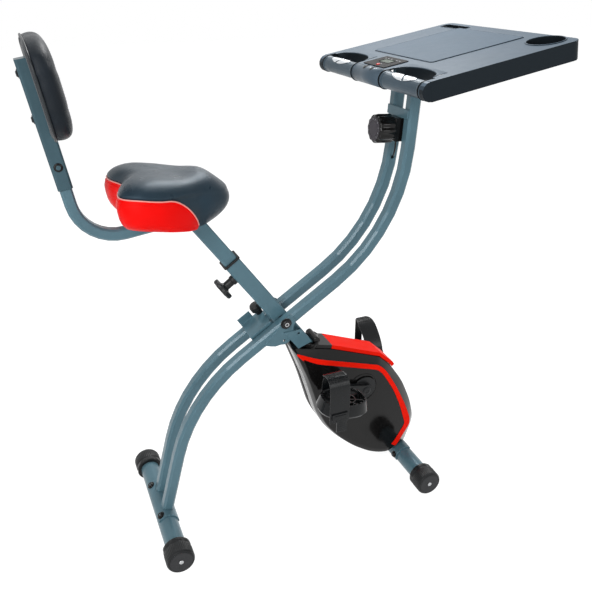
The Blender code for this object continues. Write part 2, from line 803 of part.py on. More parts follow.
def cheek_plate(side):
    """Flat bar beside the pivot, outside the gusset, in post coordinates."""
    inner = TUBE_Y + TUBE_SIDE / 2 + GUSSET_THICK + GAP
    half = CHEEK_WIDTH / 2
    outline = [(half, -CHEEK_START - CHEEK_SLANT), (-half, -CHEEK_START), (-half, -CHEEK_DROP),
               (half, -CHEEK_DROP - 0.010)]
    around = math.radians(-95.7 + FOLD_ANGLE)
    spot = POST_FRAME.inverted() @ (PIVOT + LOCK_HOLE_FROM_PIVOT * xz(math.cos(around), math.sin(around)))
    hole = [(x + spot.x, z + spot.z) for x, z in ring(LOCK_HOLE_RADIUS, 10)]
    levels = sorted((side * inner, side * (inner + CHEEK_THICK)))
    return extrude(outline, levels[0], levels[1], [hole])


def cheek_web(side):
    """Spacer between a cheek and the post's side face, ahead of the folding tubes."""
    inner = POST_SIDE / 2 + GAP
    outer = TUBE_Y + TUBE_SIDE / 2 + GUSSET_THICK + GAP + CHEEK_THICK / 2
    levels = sorted((side * inner, side * outer))
    return box((0.009, levels[0], -CHEEK_DROP), (CHEEK_WIDTH / 2, levels[1], -CHEEK_WEB_TOP))


def latch_section():
    """Cross section of the lock bracket, a plate with a rib each side and lips that land on the tubes."""
    tube_top = TUBE_SIDE / 2
    under = tube_top + LATCH_LIFT
    top = under + LATCH_THICK
    lip = tube_top + GAP
    rib = under - LATCH_RIB_DROP - LATCH_LIFT
    rib_out = LATCH_RIB_Y + LATCH_THICK
    return [(-LATCH_RIGHT_Y, top), (-LATCH_RIGHT_Y, lip), (-LATCH_RIGHT_Y + LATCH_THICK, lip),
            (-LATCH_RIGHT_Y + LATCH_THICK, under), (-rib_out, under), (-rib_out, rib), (-LATCH_RIB_Y, rib),
            (-LATCH_RIB_Y, under), (LATCH_RIB_Y, under), (LATCH_RIB_Y, rib), (rib_out, rib), (rib_out, under),
            (LATCH_LEFT_Y - LATCH_THICK, under), (LATCH_LEFT_Y - LATCH_THICK, lip), (LATCH_LEFT_Y, lip),
            (LATCH_LEFT_Y, top)]


def lock_bracket(parent, post_space):
    """Bracket on the post's rear face that lands on both tubes, with an ear on its left."""
    body = node("lock_bracket", extrude(latch_section(), -LATCH_START - LATCH_LENGTH, -LATCH_START, axis="X"),
                "powder_coat", parent, SLOPE_FRAME)
    top = TUBE_SIDE / 2 + LATCH_LIFT + LATCH_THICK
    ear = box((-LATCH_START - LATCH_LENGTH, LATCH_LEFT_Y - LATCH_THICK, top - 0.001),
              (-EAR_START, LATCH_LEFT_Y, top + EAR_HEIGHT))
    web = box((-LATCH_START - 0.006, -0.012, TUBE_SIDE / 2 - 0.001), (-POST_SIDE / 2 + 0.004, 0.012, top - 0.001))
    pin_hole = shaft(LOCK_PIN_RADIUS + GAP, 0.0, top + PAST, 12, "Z")
    add(body, tool("lock_ear", ear, parent, SLOPE_FRAME), tool("lock_web", web, parent, SLOPE_FRAME))
    return cut(body, post_space, tool("lock_pin_hole", pin_hole, parent,
                                      SLOPE_FRAME @ Matrix.Translation((-LOCK_KNOB_BACK, TUBE_Y, 0))))


def post_cheek(name, side, parent):
    """Cheek beside the pivot with the spacer that joins it to the post."""
    cheek = node(name, cheek_plate(side), "powder_coat", parent, POST_FRAME)
    return add(cheek, tool(name + "_web", cheek_web(side), parent, POST_FRAME))


def magnet_lug():
    """Plate from the post's front face to the eye that the magnet carrier swings on."""
    low = 0.010
    high = 0.014
    eye_radius = 0.009
    eye = POST_FRAME.inverted() @ MAGNET_PIVOT
    face = POST_SIDE / 2 - POST_WALL / 2
    outline = [(face, eye.z - 0.016)] + arc((eye.x, eye.z), eye_radius, -80, 80, 8) + [(face, eye.z + 0.016)]
    hole = [(x + eye.x, z + eye.z) for x, z in ring(0.0043, 12)]
    return moved(extrude(outline, low, high, [hole]), POST_FRAME)


def lock_knob(parent):
    """Spring pull pin; its tip stands just clear of the hole in the left tube."""
    tube_top = TUBE_SIDE / 2
    plate_top = tube_top + LATCH_LIFT + LATCH_THICK
    start = plate_top + 0.001
    end = start + LOCK_KNOB_LENGTH
    profile = [(0.0, tube_top + LOCK_PIN_CLEAR), (LOCK_PIN_RADIUS - 0.001, tube_top + LOCK_PIN_CLEAR),
               (LOCK_PIN_RADIUS, tube_top + LOCK_PIN_CLEAR + 0.001), (LOCK_PIN_RADIUS, start),
               (LOCK_KNOB_RADIUS * 0.62, start), (LOCK_KNOB_RADIUS * 0.62, start + 0.006),
               (LOCK_KNOB_RADIUS, start + 0.012), (LOCK_KNOB_RADIUS, end - 0.006),
               (LOCK_KNOB_RADIUS * 0.8, end - 0.001), (0.0, end)]
    frame = SLOPE_FRAME @ Matrix.Translation((-LOCK_KNOB_BACK, TUBE_Y, 0))
    return node("lock_knob", turned(profile, 18, "Z"), "black_plastic", parent, frame)


def seat_knob(parent):
    """Clamp knob on the post's rear face, its screw tip just clear of the seat post."""
    face = -POST_SIDE / 2
    disc = face - SEAT_KNOB_REACH
    tip = -SEAT_POST_SIDE / 2 - GAP
    profile = [(0.0, tip), (SEAT_POST_HOLE_RADIUS, tip), (SEAT_POST_HOLE_RADIUS, face - GAP),
               (SEAT_KNOB_BOSS_RADIUS, face - GAP), (SEAT_KNOB_BOSS_RADIUS, face - SEAT_KNOB_BOSS),
               (SEAT_KNOB_HUB_RADIUS, face - SEAT_KNOB_BOSS - 0.002),
               (SEAT_KNOB_HUB_RADIUS, disc + SEAT_KNOB_DISC + 0.004),
               (SEAT_KNOB_HUB_RADIUS * 1.4, disc + SEAT_KNOB_DISC),
               (SEAT_KNOB_DISC_RADIUS * 0.93, disc + SEAT_KNOB_DISC),
               (SEAT_KNOB_DISC_RADIUS, disc + SEAT_KNOB_DISC - 0.003),
               (SEAT_KNOB_DISC_RADIUS, disc + 0.003), (SEAT_KNOB_DISC_RADIUS * 0.9, disc), (0.0, disc)]
    sides = SEAT_KNOB_LOBES * 4
    bm = turned(profile, sides, "X")
    for vert in bm.verts:
        radius = math.hypot(vert.co.y, vert.co.z)
        if radius > SEAT_KNOB_DISC_RADIUS * 0.85:
            around = math.atan2(vert.co.z, vert.co.y)
            scale = 0.93 + 0.07 * math.cos(SEAT_KNOB_LOBES * around)
            vert.co.y *= scale
            vert.co.z *= scale
    frame = POST_FRAME @ Matrix.Translation((0, 0, SEAT_KNOB_UP))
    return node("seat_knob", bm, "black_plastic", parent, frame, Vector((face, 0, 0)))


# Drive housing

def housing_rim():
    """The housing's profile near the middle plane, anticlockwise seen from the right."""
    return [(-0.045, 0.455), (-0.006, 0.351), (0.012, 0.289), (0.027, 0.235), (0.048, 0.192), (0.084, 0.147),
            (0.131, 0.102), (0.182, 0.066), (0.219, 0.050), (0.254, 0.045), (0.313, 0.058), (0.3325, 0.117),
            (0.3355, 0.145), (0.322, 0.200), (0.291, 0.272), (0.247, 0.337), (0.213, 0.369), (0.068, 0.426)]


def housing_shoulder():
    """The profile where the chamfer ends and the coloured stripe begins, point by point as the rim."""
    return [(-0.0405, 0.449), (-0.001, 0.352), (0.017, 0.291), (0.032, 0.238), (0.053, 0.196), (0.088, 0.152),
            (0.134, 0.108), (0.184, 0.073), (0.219, 0.058), (0.250, 0.052), (0.276, 0.072), (0.312, 0.133),
            (0.312, 0.154), (0.292, 0.206), (0.261, 0.271), (0.222, 0.337), (0.199, 0.358), (0.020, 0.418)]


def housing_rings(side, outward):
    """Rings from the middle plane to the side panel, moved out of the wall by a distance."""
    rim = inset(housing_rim(), -outward)
    shoulder = inset(housing_shoulder(), -outward)
    panel = inset(inset(housing_shoulder(), STRIPE_WIDTH), -outward * 0.6)
    levels = [(rim, HOUSING_RIM_Y + outward * 0.4), (shoulder, HOUSING_SHOULDER_Y + outward * 0.7),
              (panel, HOUSING_PANEL_Y + outward)]
    return [[(x, side * y, z) for x, z in outline] for outline, y in levels]


def housing_half(name, side, parent, cutters):
    """One moulded half shell, open at the middle plane."""
    outer = housing_rings(side, 0.0)
    inner = housing_rings(side, -HOUSING_WALL)
    outer.insert(0, [(x, side * GAP / 2, z) for x, y, z in outer[0]])
    inner.insert(0, [(x, side * GAP / 2, z) for x, y, z in inner[0]])
    bm = bmesh.new()
    rows = []
    for levels in (outer, inner):
        rows.append([[bm.verts.new(point) for point in level] for level in levels])
    for shell in rows:
        for low, high in zip(shell, shell[1:]):
            for i in range(len(low)):
                j = (i + 1) % len(low)
                bm.faces.new((low[i], low[j], high[j]))
                bm.faces.new((low[i], high[j], high[i]))
        bm.faces.new(shell[-1])
    for i in range(len(outer[0])):
        j = (i + 1) % len(outer[0])
        bm.faces.new((rows[0][0][i], rows[0][0][j], rows[1][0][j], rows[1][0][i]))
    shell = node(name, close(bm), "gloss_black", parent)
    cut(shell, *cutters)
    return shell


def housing_stripe(name, side, parent):
    """Coloured strip on the sloping band of one half, over the top and down the front."""
    low = housing_rings(side, GAP)
    high = housing_rings(side, GAP + STRIPE_THICK)
    count = len(low[1])
    bm = bmesh.new()
    rows = []
    for i in range(count - STRIPE_LAST, count + 1):
        corners = (low[1][i % count], low[2][i % count], high[2][i % count], high[1][i % count])
        rows.append([bm.verts.new(Vector(point)) for point in corners])
    for a, b in zip(rows, rows[1:]):
        for k in range(4):
            m = (k + 1) % 4
            bm.faces.new((a[k], a[m], b[m]))
            bm.faces.new((a[k], b[m], b[k]))
    bm.faces.new(rows[0])
    bm.faces.new(rows[-1])
    return node(name, close(bm), "red_plastic", parent)


def cover_rings(stations, lift_low, lift_high, half):
    """Rings of a strip that follows the top of the rim, at points of it or part of the way between two."""
    low = inset(housing_rim(), -lift_low)
    high = inset(housing_rim(), -lift_high)
    rings = []
    for first, second, share in stations:
        x0, z0 = Vector(low[first]).lerp(Vector(low[second]), share)
        x1, z1 = Vector(high[first]).lerp(Vector(high[second]), share)
        rings.append([(x0, -half, z0), (x1, -half, z1), (x1, half, z1), (x0, half, z0)])
    return rings


def housing_red_cover(parent, post_space):
    """Raised coloured strip along the top of the housing, ahead of the post."""
    stations = ((-3, -4, COVER_RUN_DOWN), (-3, -3, 0.0), (-2, -2, 0.0), (-1, -1, 0.0))
    strip = loft(cover_rings(stations, GAP, COVER_THICK, HOUSING_RIM_Y - 0.001))
    return cut(node("housing_red_cover", strip, "red_plastic", parent), post_space)


def housing_top_cap(parent, post_space):
    """Black cap where the post enters the housing."""
    low = inset(housing_rim(), -GAP)
    high = inset(housing_rim(), -COVER_THICK)
    gap = 0.001
    rings = []
    half = HOUSING_RIM_Y - 0.001
    for t in (gap / 0.12, 0.35, 0.62):
        points = []
        for outline in (low, high):
            a, b = Vector(outline[-1]), Vector(outline[0])
            points.append(a.lerp(b, t))
        rings.append([(points[0].x, -half, points[0].y), (points[1].x, -half, points[1].y),
                      (points[1].x, half, points[1].y), (points[0].x, half, points[0].y)])
    return cut(node("housing_top_cap", loft(rings), "black_plastic", parent), post_space)


# Crank, pulleys, belt and resistance wheel

def crank_shell(parent):
    """Bottom bracket shell, welded along the post's front face."""
    face = POST_SIDE / 2 + GAP
    low = -CRANK_SHELL_RADIUS
    outline = [(face, low)] + arc((CRANK_FORWARD, 0), CRANK_SHELL_RADIUS, -90, 90, 12) + [(face, -low)]
    bore = [(x + CRANK_FORWARD, z) for x, z in ring(CRANK_SHELL_BORE, 24)]
    bm = extrude(outline, -CRANK_SHELL_HALF, CRANK_SHELL_HALF, [bore])
    return node("crank_shell", bm, "powder_coat", parent, POST_FRAME @ Matrix.Translation((0, 0, -CRANK_DOWN)))


def crank_bearing(name, side, parent):
    """One crank bearing, a close fit in its shell and round its axle."""
    bore = CRANK_AXLE_RADIUS / math.cos(math.pi / 24) + GAP
    outer = CRANK_SHELL_BORE * math.cos(math.pi / 24) - GAP
    low = side * (CRANK_SHELL_HALF - CRANK_BEARING)
    high = side * CRANK_SHELL_HALF
    profile = [(bore, low), (bore, high), (outer, high), (outer, low)]
    return node(name, turned(profile, 24), "steel", parent, Matrix.Translation(CRANK))


def crank_axle(parent):
    end = CRANK_ARM_IN + 0.001
    return node("crank_axle", shaft(CRANK_AXLE_RADIUS, -end, end, 24), "steel", parent,
                Matrix.Translation(CRANK))


def crank_arm(name, side, parent):
    """Hub disc, arm and pedal spindle of one crank."""
    angle = math.radians(CRANK_TILT) if side < 0 else math.radians(CRANK_TILT + 180)
    frame = Matrix.Translation(CRANK) @ Matrix.Rotation(-angle, 4, "Y")
    hub = CRANK_ARM_HUB_RADIUS
    end = CRANK_ARM_END_RADIUS
    outline = arc((0, 0), hub, 60, 300, 12) + arc((CRANK_LENGTH, 0), end, -80, 80, 8)
    levels = sorted((side * CRANK_ARM_IN, side * CRANK_ARM_OUT))
    arm = node(name, extrude(outline, *levels), "black_plastic", parent, frame)
    face = side * (HOUSING_PANEL_Y + 0.0008)
    outer = face + side * (CRANK_DISC + 0.001)
    disc = turned([(0.0, face), (CRANK_DISC_RADIUS - 0.003, face), (CRANK_DISC_RADIUS, face + side * 0.0008),
                   (CRANK_DISC_RADIUS, outer - side * 0.001), (CRANK_DISC_RADIUS - 0.001, outer), (0.0, outer)], 24)
    spindle = shaft(SPINDLE_RADIUS, *sorted((side * (CRANK_ARM_OUT - 0.004), side * (PEDAL_OUT - 0.006))), 12)
    axle_hole = shaft(CRANK_AXLE_RADIUS + GAP, *sorted((side * 0.05, side * (CRANK_ARM_IN + 0.001 + GAP))), 24)
    add(arm, tool(name + "_disc", disc, parent, frame),
        tool(name + "_spindle", spindle, parent, frame @ Matrix.Translation((CRANK_LENGTH, 0, 0))))
    return cut(arm, tool(name + "_axle_hole", axle_hole, parent, frame))


def crank_pulley(parent):
    """Grooved driving pulley on the crank axle, right side."""
    half = PULLEY_WIDTH / 2
    bore = CRANK_AXLE_RADIUS + GAP
    rim = CRANK_PULLEY_RADIUS
    low = -PULLEY_Y - half
    high = -PULLEY_Y + half
    profile = [(bore, low), (bore, high), (0.018, high), (0.018, high - 0.003), (rim - 0.008, high - 0.003),
               (rim - 0.008, high), (rim + 0.003, high), (rim, high - 0.0012), (rim, low + 0.0012),
               (rim + 0.003, low)]
    return node("crank_pulley", turned(profile, 28), "black_plastic", parent, Matrix.Translation(CRANK))


def flywheel(parent):
    bore = FLYWHEEL_AXLE_RADIUS + GAP
    low, high = FLYWHEEL_IN, FLYWHEEL_OUT
    profile = [(bore, low), (FLYWHEEL_RADIUS, low), (FLYWHEEL_RADIUS, high), (FLYWHEEL_RADIUS - 0.014, high),
               (FLYWHEEL_RADIUS - 0.016, high - 0.008), (0.020, high - 0.008), (0.018, high), (bore, high)]
    return node("flywheel", turned(profile, 28), "cast_metal", parent, Matrix.Translation(FLYWHEEL_CENTRE))


def flywheel_axle(parent):
    """Turning axle with the small driven pulley in one piece."""
    radius = FLYWHEEL_AXLE_RADIUS
    half = PULLEY_WIDTH / 2
    low = -PULLEY_Y - half
    high = -PULLEY_Y + half
    rim = FLYWHEEL_PULLEY_RADIUS
    profile = [(0.0, low - 0.004), (radius, low - 0.004), (radius, low), (rim + 0.003, low),
               (rim, low + 0.0012), (rim, high - 0.0012), (rim + 0.003, high), (radius, high), (radius, FLYWHEEL_OUT + 0.003), (0.0, FLYWHEEL_OUT + 0.003)]
    return node("flywheel_axle", turned(profile, 16), "steel", parent, Matrix.Translation(FLYWHEEL_CENTRE))


def belt(parent):
    """Belt round both pulleys."""
    apart = FLYWHEEL_CENTRE - CRANK
    heading = math.degrees(math.atan2(apart.z, apart.x))
    big = CRANK_PULLEY_RADIUS / math.cos(math.pi / 24) + GAP
    small = FLYWHEEL_PULLEY_RADIUS / math.cos(math.pi / 16) + GAP
    lean = math.degrees(math.asin((big - small) / apart.length))

    def loop(extra):
        around = arc((CRANK.x, CRANK.z), big + extra, heading + 90 - lean, heading + 270 + lean, 28)
        return around + arc((FLYWHEEL_CENTRE.x, FLYWHEEL_CENTRE.z), small + extra,
                            heading - 90 + lean, heading + 90 - lean, 12)

    half = BELT_WIDTH / 2
    outer = loop(BELT_THICK)
    inner = loop(0.0)
    rings = [[(x, y, z) for x, z in outer] for y in (-PULLEY_Y - half, -PULLEY_Y + half)]
    bores = [[(x, y, z) for x, z in inner] for y in (-PULLEY_Y - half, -PULLEY_Y + half)]
    return node("belt", loft(rings, bores), "rubber", parent)


def magnet_carrier(parent):
    """Curved carrier over the wheel's rim with its own pivot pin."""
    inner = FLYWHEEL_RADIUS + MAGNET_GAP
    outer = inner + MAGNET_THICK
    outline = (arc((0, 0), outer, MAGNET_ARC_START, MAGNET_ARC_END, 12)
               + arc((0, 0), inner, MAGNET_ARC_END, MAGNET_ARC_START, 12))
    bm = extrude(outline, FLYWHEEL_IN, FLYWHEEL_OUT)
    body = node("magnet_carrier", bm, "cast_metal", parent, Matrix.Translation(FLYWHEEL_CENTRE),
                MAGNET_PIVOT - FLYWHEEL_CENTRE)
    pin = shaft(0.004, 0.005, FLYWHEEL_OUT, 12)
    return add(body, tool("magnet_pin", pin, parent, Matrix.Translation(MAGNET_PIVOT)))


# Pedals

def oval(half_x, half_y, count=28, squareness=2.5):
    """A rounded oval in XY, anticlockwise."""
    points = []
    for i in range(count):
        angle = 2 * math.pi * i / count
        across, along = math.cos(angle), math.sin(angle)
        points.append((half_x * math.copysign(abs(across) ** (2 / squareness), across),
                       half_y * math.copysign(abs(along) ** (2 / squareness), along)))
    return points


def pedal_window(x_sign, y_sign, half_x, half_y):
    """One quarter of the open middle of the pedal, between the rim, the boss and the centre rib."""
    corner = [(abs(x), abs(y)) for x, y in oval(half_x, half_y, 16)[:5]]
    corner = [(x, y) for x, y in corner if x > PEDAL_BOSS and y > PEDAL_SPOKE / 2]
    edge_y = max(y for x, y in corner)
    loop = [(PEDAL_BOSS, PEDAL_SPOKE / 2), (half_x * 0.985, PEDAL_SPOKE / 2), *corner, (PEDAL_BOSS, edge_y)]
    return [(x_sign * x, y_sign * y) for x, y in loop]


def pedal(name, side, parent):
    """Oval foot platform, wider below, with four windows round its boss, bored for its spindle."""
    half = PEDAL_LENGTH / 2
    width = (PEDAL_OUT - PEDAL_IN) / 2
    thick = PEDAL_THICK / 2
    frame = Matrix.Translation(pedal_centre(side)) @ Matrix.Rotation(-math.radians(PEDAL_PITCH), 4, "Y")
    levels = ((-thick, 0.95), (-thick * 0.7, 1.0), (thick * 0.8, PEDAL_TOP_SHARE), (thick, PEDAL_TOP_SHARE - 0.03))
    rings = [[(x, y, z) for x, y in oval(half * scale, width * scale)] for z, scale in levels]
    body = node(name, loft(rings), "black_plastic", parent, frame)
    for index, (x_sign, y_sign) in enumerate(((1, 1), (-1, 1), (-1, -1), (1, -1))):
        loop = pedal_window(x_sign, y_sign, half * PEDAL_TOP_SHARE - PEDAL_RIM, width * PEDAL_TOP_SHARE - PEDAL_RIM)
        window = extrude(loop, -thick - PAST, thick + PAST, axis="Z")
        cut(body, tool(name + "_window_" + str(index), window, parent, frame))
    bore = shaft(SPINDLE_RADIUS / math.cos(math.pi / 12) + GAP, -width - PAST, width + PAST, 12)
    return cut(body, tool(name + "_bore", bore, parent, frame))


def strap(name, side, parent):
    """Foot strap arching over the pedal from side to side, with a tail outside."""
    pedal_frame = Matrix.Translation(pedal_centre(side))
    frame = pedal_frame @ Matrix.Translation((RIGHT_STRAP_X if side < 0 else LEFT_STRAP_X, 0, 0))
    width = (PEDAL_OUT - PEDAL_IN) / 2 + GAP
    base = -PEDAL_THICK / 2 + 0.002
    rise = STRAP_RISE
    inner_side = [(-width, base), (-width, base + 0.020), (-width * 0.93, rise * 0.36), (-width * 0.70, rise * 0.57),
                  (-width * 0.33, rise * 0.77), (width * 0.08, rise * 0.92)]
    outer_side = [(width * 0.45, rise * 0.985), (width * 0.74, rise * 0.97), (width * 0.93, rise * 0.87),
                  (width, rise * 0.70), (width, base + 0.020), (width, base)]
    middle = inner_side + outer_side
    outside = []
    for i, point in enumerate(middle):
        before = Vector(middle[max(i - 1, 0)])
        after = Vector(middle[min(i + 1, len(middle) - 1)])
        along = (after - before).normalized()
        outside.append((point[0] - along.y * STRAP_THICK, point[1] + along.x * STRAP_THICK))
    half = STRAP_WIDTH / 2
    outline = [(side * y, z) for y, z in middle + outside[::-1]]
    if side < 0:
        outline.reverse()
    body = node(name, extrude(outline, -half, half, axis="X"), "rubber", parent, frame)
    tail_half = STRAP_TAIL_WIDTH / 2
    low, high = sorted((side * (width + 0.0002), side * (width + 0.0002 + STRAP_THICK * 1.6)))
    add(body, tool(name + "_tail", box((STRAP_TAIL_X - tail_half, low, -STRAP_TAIL),
                                       (STRAP_TAIL_X + tail_half, high, base + 0.014)), parent, frame))
    space = shaft(SPINDLE_RADIUS + STRAP_SPINDLE_CLEAR, *sorted((0.0, -side * 0.1)), 12)
    return cut(body, tool(name + "_hole", space, parent, pedal_frame))


# Desk

def desk_shell(parent):
    """Moulded desk: top, skirt, hand grip barrel, side cheeks, cup well, pen tray and screw bosses."""
    half = DESK_HALF_WIDTH
    outline = ([(0.0, -half)] + arc((DESK_DEPTH - DESK_CORNER, -half + DESK_CORNER), DESK_CORNER, -90, 0, 4)
               + arc((DESK_DEPTH - DESK_CORNER, half - DESK_CORNER), DESK_CORNER, 0, 90, 4) + [(0.0, half)])
    shell = node("desk_shell", extrude(outline, -DESK_SKIRT, 0.0, axis="Z"), "desk_plastic", parent, DESK_FRAME)

    hollow = box((DESK_WALL, -half + DESK_WALL, -DESK_SKIRT - PAST),
                 (DESK_DEPTH - DESK_WALL, half - DESK_WALL, -DESK_TOP_WALL))
    barrel = shaft(BARREL_RADIUS, -BARREL_HALF - 0.002, BARREL_HALF + 0.002, 24)
    hand_space = box((-0.05, BARREL_HALF + GAP, -0.06), (OPENING_START, GRIP_OUT + 2 * GAP, 0.01))
    finger = extrude(rounded_rect((OPENING_START - 0.012, OPENING_IN), (OPENING_END, OPENING_OUT), 0.011, 3),
                     -0.06, 0.01, axis="Z")
    cup = shaft(CUP_RADIUS + CUP_WALL, -CUP_DEPTH - CUP_WALL, -DESK_TOP_WALL / 2, 28, "Z")
    cup_space = shaft(CUP_RADIUS, -CUP_DEPTH, PAST, 28, "Z")
    low = (TRAY_S - TRAY_WIDTH / 2, TRAY_Y - TRAY_LENGTH / 2)
    high = (TRAY_S + TRAY_WIDTH / 2, TRAY_Y + TRAY_LENGTH / 2)
    wall = DESK_WALL
    tray = extrude(rounded_rect((low[0] - wall, low[1] - wall), (high[0] + wall, high[1] + wall), 0.012, 3),
                   -TRAY_DEPTH - wall, -DESK_TOP_WALL / 2, axis="Z")
    tray_space = extrude(rounded_rect(low, high, 0.010, 3), -TRAY_DEPTH, PAST, axis="Z")
    window = box((CONSOLE_START + 0.004 - GAP, -CONSOLE_BOX_HALF_WIDTH - GAP, -CONSOLE_BOX_DEPTH - GAP),
                 (CONSOLE_END - 0.005 + GAP, CONSOLE_BOX_HALF_WIDTH + GAP, PAST))
    bar_end = half - DESK_WALL + GAP
    bar_bore = shaft(BAR_RADIUS + GAP, -bar_end, bar_end, 20)

    def part_tool(name, bm, offset=(0, 0, 0)):
        return tool(name, bm, parent, DESK_FRAME @ Matrix.Translation(offset))

    grip_axis = (0, 0, -GRIP_DOWN)
    cut(shell, part_tool("desk_hollow", hollow))
    add(shell, part_tool("desk_barrel", barrel, grip_axis), part_tool("desk_cup", cup, (CUP_S, CUP_Y, 0)),
        part_tool("desk_tray", tray))
    for side, word in ((-1, "right"), (1, "left")):
        nose = CHEEK_NOSE_RADIUS
        cheek = extrude(arc((0, 0), nose, 90, 270, 8) + [(OPENING_START + PAST, -nose), (OPENING_START + PAST, nose)],
                        *sorted((side * (half - GAP), side * (GRIP_OUT - 0.002))))
        add(shell, part_tool(word + "_desk_cheek", cheek, grip_axis))
    for index, (s, y) in enumerate(screw_places()):
        boss = shaft(BOSS_RADIUS, -BRACKET_DOWN + GAP, -DESK_TOP_WALL / 2, 12, "Z")
        add(shell, part_tool("desk_boss_" + str(index), boss, (s, y, 0)))
        hole = shaft(SCREW_RADIUS + GAP, -BRACKET_DOWN - PAST, -DESK_TOP_WALL - 0.004, 8, "Z")
        cut(shell, part_tool("desk_boss_hole_" + str(index), hole, (s, y, 0)))
    mirror = Matrix.Scale(-1, 4, (0, 1, 0))
    for word, flip in (("left", HOME), ("right", mirror)):
        for kind, bm in (("hand", hand_space), ("finger", finger)):
            copy = bm.copy()
            if flip is mirror:
                copy.transform(mirror)
                close(copy)
            cut(shell, part_tool(word + "_" + kind + "_space", copy))
    hand_space.free()
    finger.free()
    cut(shell, part_tool("cup_space", cup_space, (CUP_S, CUP_Y, 0)), part_tool("tray_space", tray_space),
        part_tool("console_window", window), part_tool("bar_bore", bar_bore, grip_axis))
    return shell


def screw_places():
    inset_y = BRACKET_HALF_WIDTH - 0.010
    places = []
    for s in (BRACKET_START + 0.055, BRACKET_END - 0.012):
        for y in (-inset_y, inset_y):
            places.append((s, y))
    return places


def desk_mat(parent):
    outline = rounded_rect((MAT_START, MAT_RIGHT_Y), (MAT_END, MAT_LEFT_Y), 0.006, 2)
    return node("desk_mat", extrude(outline, GAP, GAP + MAT_THICK, axis="Z"), "mat_plastic", parent, DESK_FRAME)


def desk_bracket(parent):
    """Steel plate welded on the tube tops, with the four screws that hold the desk."""
    outline = rounded_rect((BRACKET_START, -BRACKET_HALF_WIDTH), (BRACKET_END, BRACKET_HALF_WIDTH), 0.006, 2)
    low = -BRACKET_DOWN - BRACKET_THICK
    body = node("desk_bracket", extrude(outline, low, -BRACKET_DOWN, axis="Z"), "powder_coat", parent, DESK_FRAME)
    tip = -DESK_TOP_WALL - 0.005
    profile = [(0.0, low - SCREW_HEAD), (SCREW_HEAD_RADIUS * 0.7, low - SCREW_HEAD),
               (SCREW_HEAD_RADIUS, low - SCREW_HEAD / 2), (SCREW_HEAD_RADIUS, low + BRACKET_THICK / 2),
               (SCREW_RADIUS, low + BRACKET_THICK / 2), (SCREW_RADIUS, tip), (0.0, tip)]
    for index, (s, y) in enumerate(screw_places()):
        screw = turned(profile, 8, "Z")
        add(body, tool("desk_screw_" + str(index), screw, parent, DESK_FRAME @ Matrix.Translation((s, y, 0))))
    return body


def grip_bar(parent):
    half = DESK_HALF_WIDTH - DESK_WALL - GAP
    inner = BAR_RADIUS - BAR_WALL
    profile = [(inner, -half), (inner, half), (BAR_RADIUS, half), (BAR_RADIUS, -half)]
    frame = DESK_FRAME @ Matrix.Translation((0, 0, -GRIP_DOWN))
    return node("grip_bar", turned(profile, 20), "steel", parent, frame)


def grip(name, side, parent):
    """Hand grip with swollen ends, bored for the bar."""
    bore = BAR_RADIUS / math.cos(math.pi / 20) + GAP
    stops = [(bore, GRIP_IN), (bore, GRIP_OUT), (GRIP_END_RADIUS, GRIP_OUT), (GRIP_END_RADIUS, GRIP_OUT - 0.010),
             (GRIP_RADIUS, GRIP_OUT - 0.013), (GRIP_RADIUS, GRIP_IN + 0.009), (GRIP_END_RADIUS, GRIP_IN + 0.006),
             (GRIP_END_RADIUS, GRIP_IN)]
    profile = [(radius, side * along) for radius, along in stops]
    frame = DESK_FRAME @ Matrix.Translation((0, 0, -GRIP_DOWN))
    return node(name, turned(profile, 24), "grip_foam", parent, frame)


def pulse_plate(name, side, parent):
    """Pair of curved contact plates on top of a grip, with the thin strip that joins them."""
    inner = GRIP_RADIUS / math.cos(math.pi / 24) * 1.001 + GAP
    middle = (PULSE_IN + PULSE_OUT) / 2
    low_angle = 100 - PULSE_HALF_ANGLE
    high_angle = 100 + PULSE_HALF_ANGLE
    frame = DESK_FRAME @ Matrix.Translation((0, 0, -GRIP_DOWN))

    def sector(start, end, thick):
        outline = (arc((0, 0), inner + thick, low_angle, high_angle, 8)
                   + arc((0, 0), inner, high_angle, low_angle, 8))
        return extrude(outline, *sorted((side * start, side * end)))

    plate = node(name, sector(PULSE_IN, middle - PULSE_SPLIT / 2, PULSE_THICK), "chrome", parent, frame)
    return add(plate, tool(name + "_outer", sector(middle + PULSE_SPLIT / 2, PULSE_OUT, PULSE_THICK), parent, frame),
               tool(name + "_strip", sector(PULSE_IN + 0.01, PULSE_OUT - 0.01, PULSE_THICK / 2), parent, frame))


def console_case(parent):
    """Console face on the desk top with its shallow box, a screen recess and a button well."""
    top = GAP + CONSOLE_FACE
    face = rounded_rect((CONSOLE_START, -CONSOLE_HALF_WIDTH), (CONSOLE_END, CONSOLE_HALF_WIDTH), 0.003, 2)
    case = node("console_case", extrude(face, GAP, top, axis="Z"), "gloss_black", parent, DESK_FRAME)
    inner = box((CONSOLE_START + 0.004, -CONSOLE_BOX_HALF_WIDTH, -CONSOLE_BOX_DEPTH),
                (CONSOLE_END - 0.005, CONSOLE_BOX_HALF_WIDTH, top - 0.0005))
    well = shaft(BUTTON_RADIUS + GAP, -CONSOLE_BOX_DEPTH + 0.0015, PAST, 16, "Z")
    recess = box((SCREEN_START - GAP, -SCREEN_HALF_WIDTH - GAP, top - 0.0013),
                 (SCREEN_END + GAP, SCREEN_HALF_WIDTH + GAP, PAST))
    add(case, tool("console_box", inner, parent, DESK_FRAME))
    return cut(case, tool("button_well", well, parent, DESK_FRAME @ Matrix.Translation((BUTTON_S, BUTTON_Y, 0))),
               tool("screen_recess", recess, parent, DESK_FRAME))


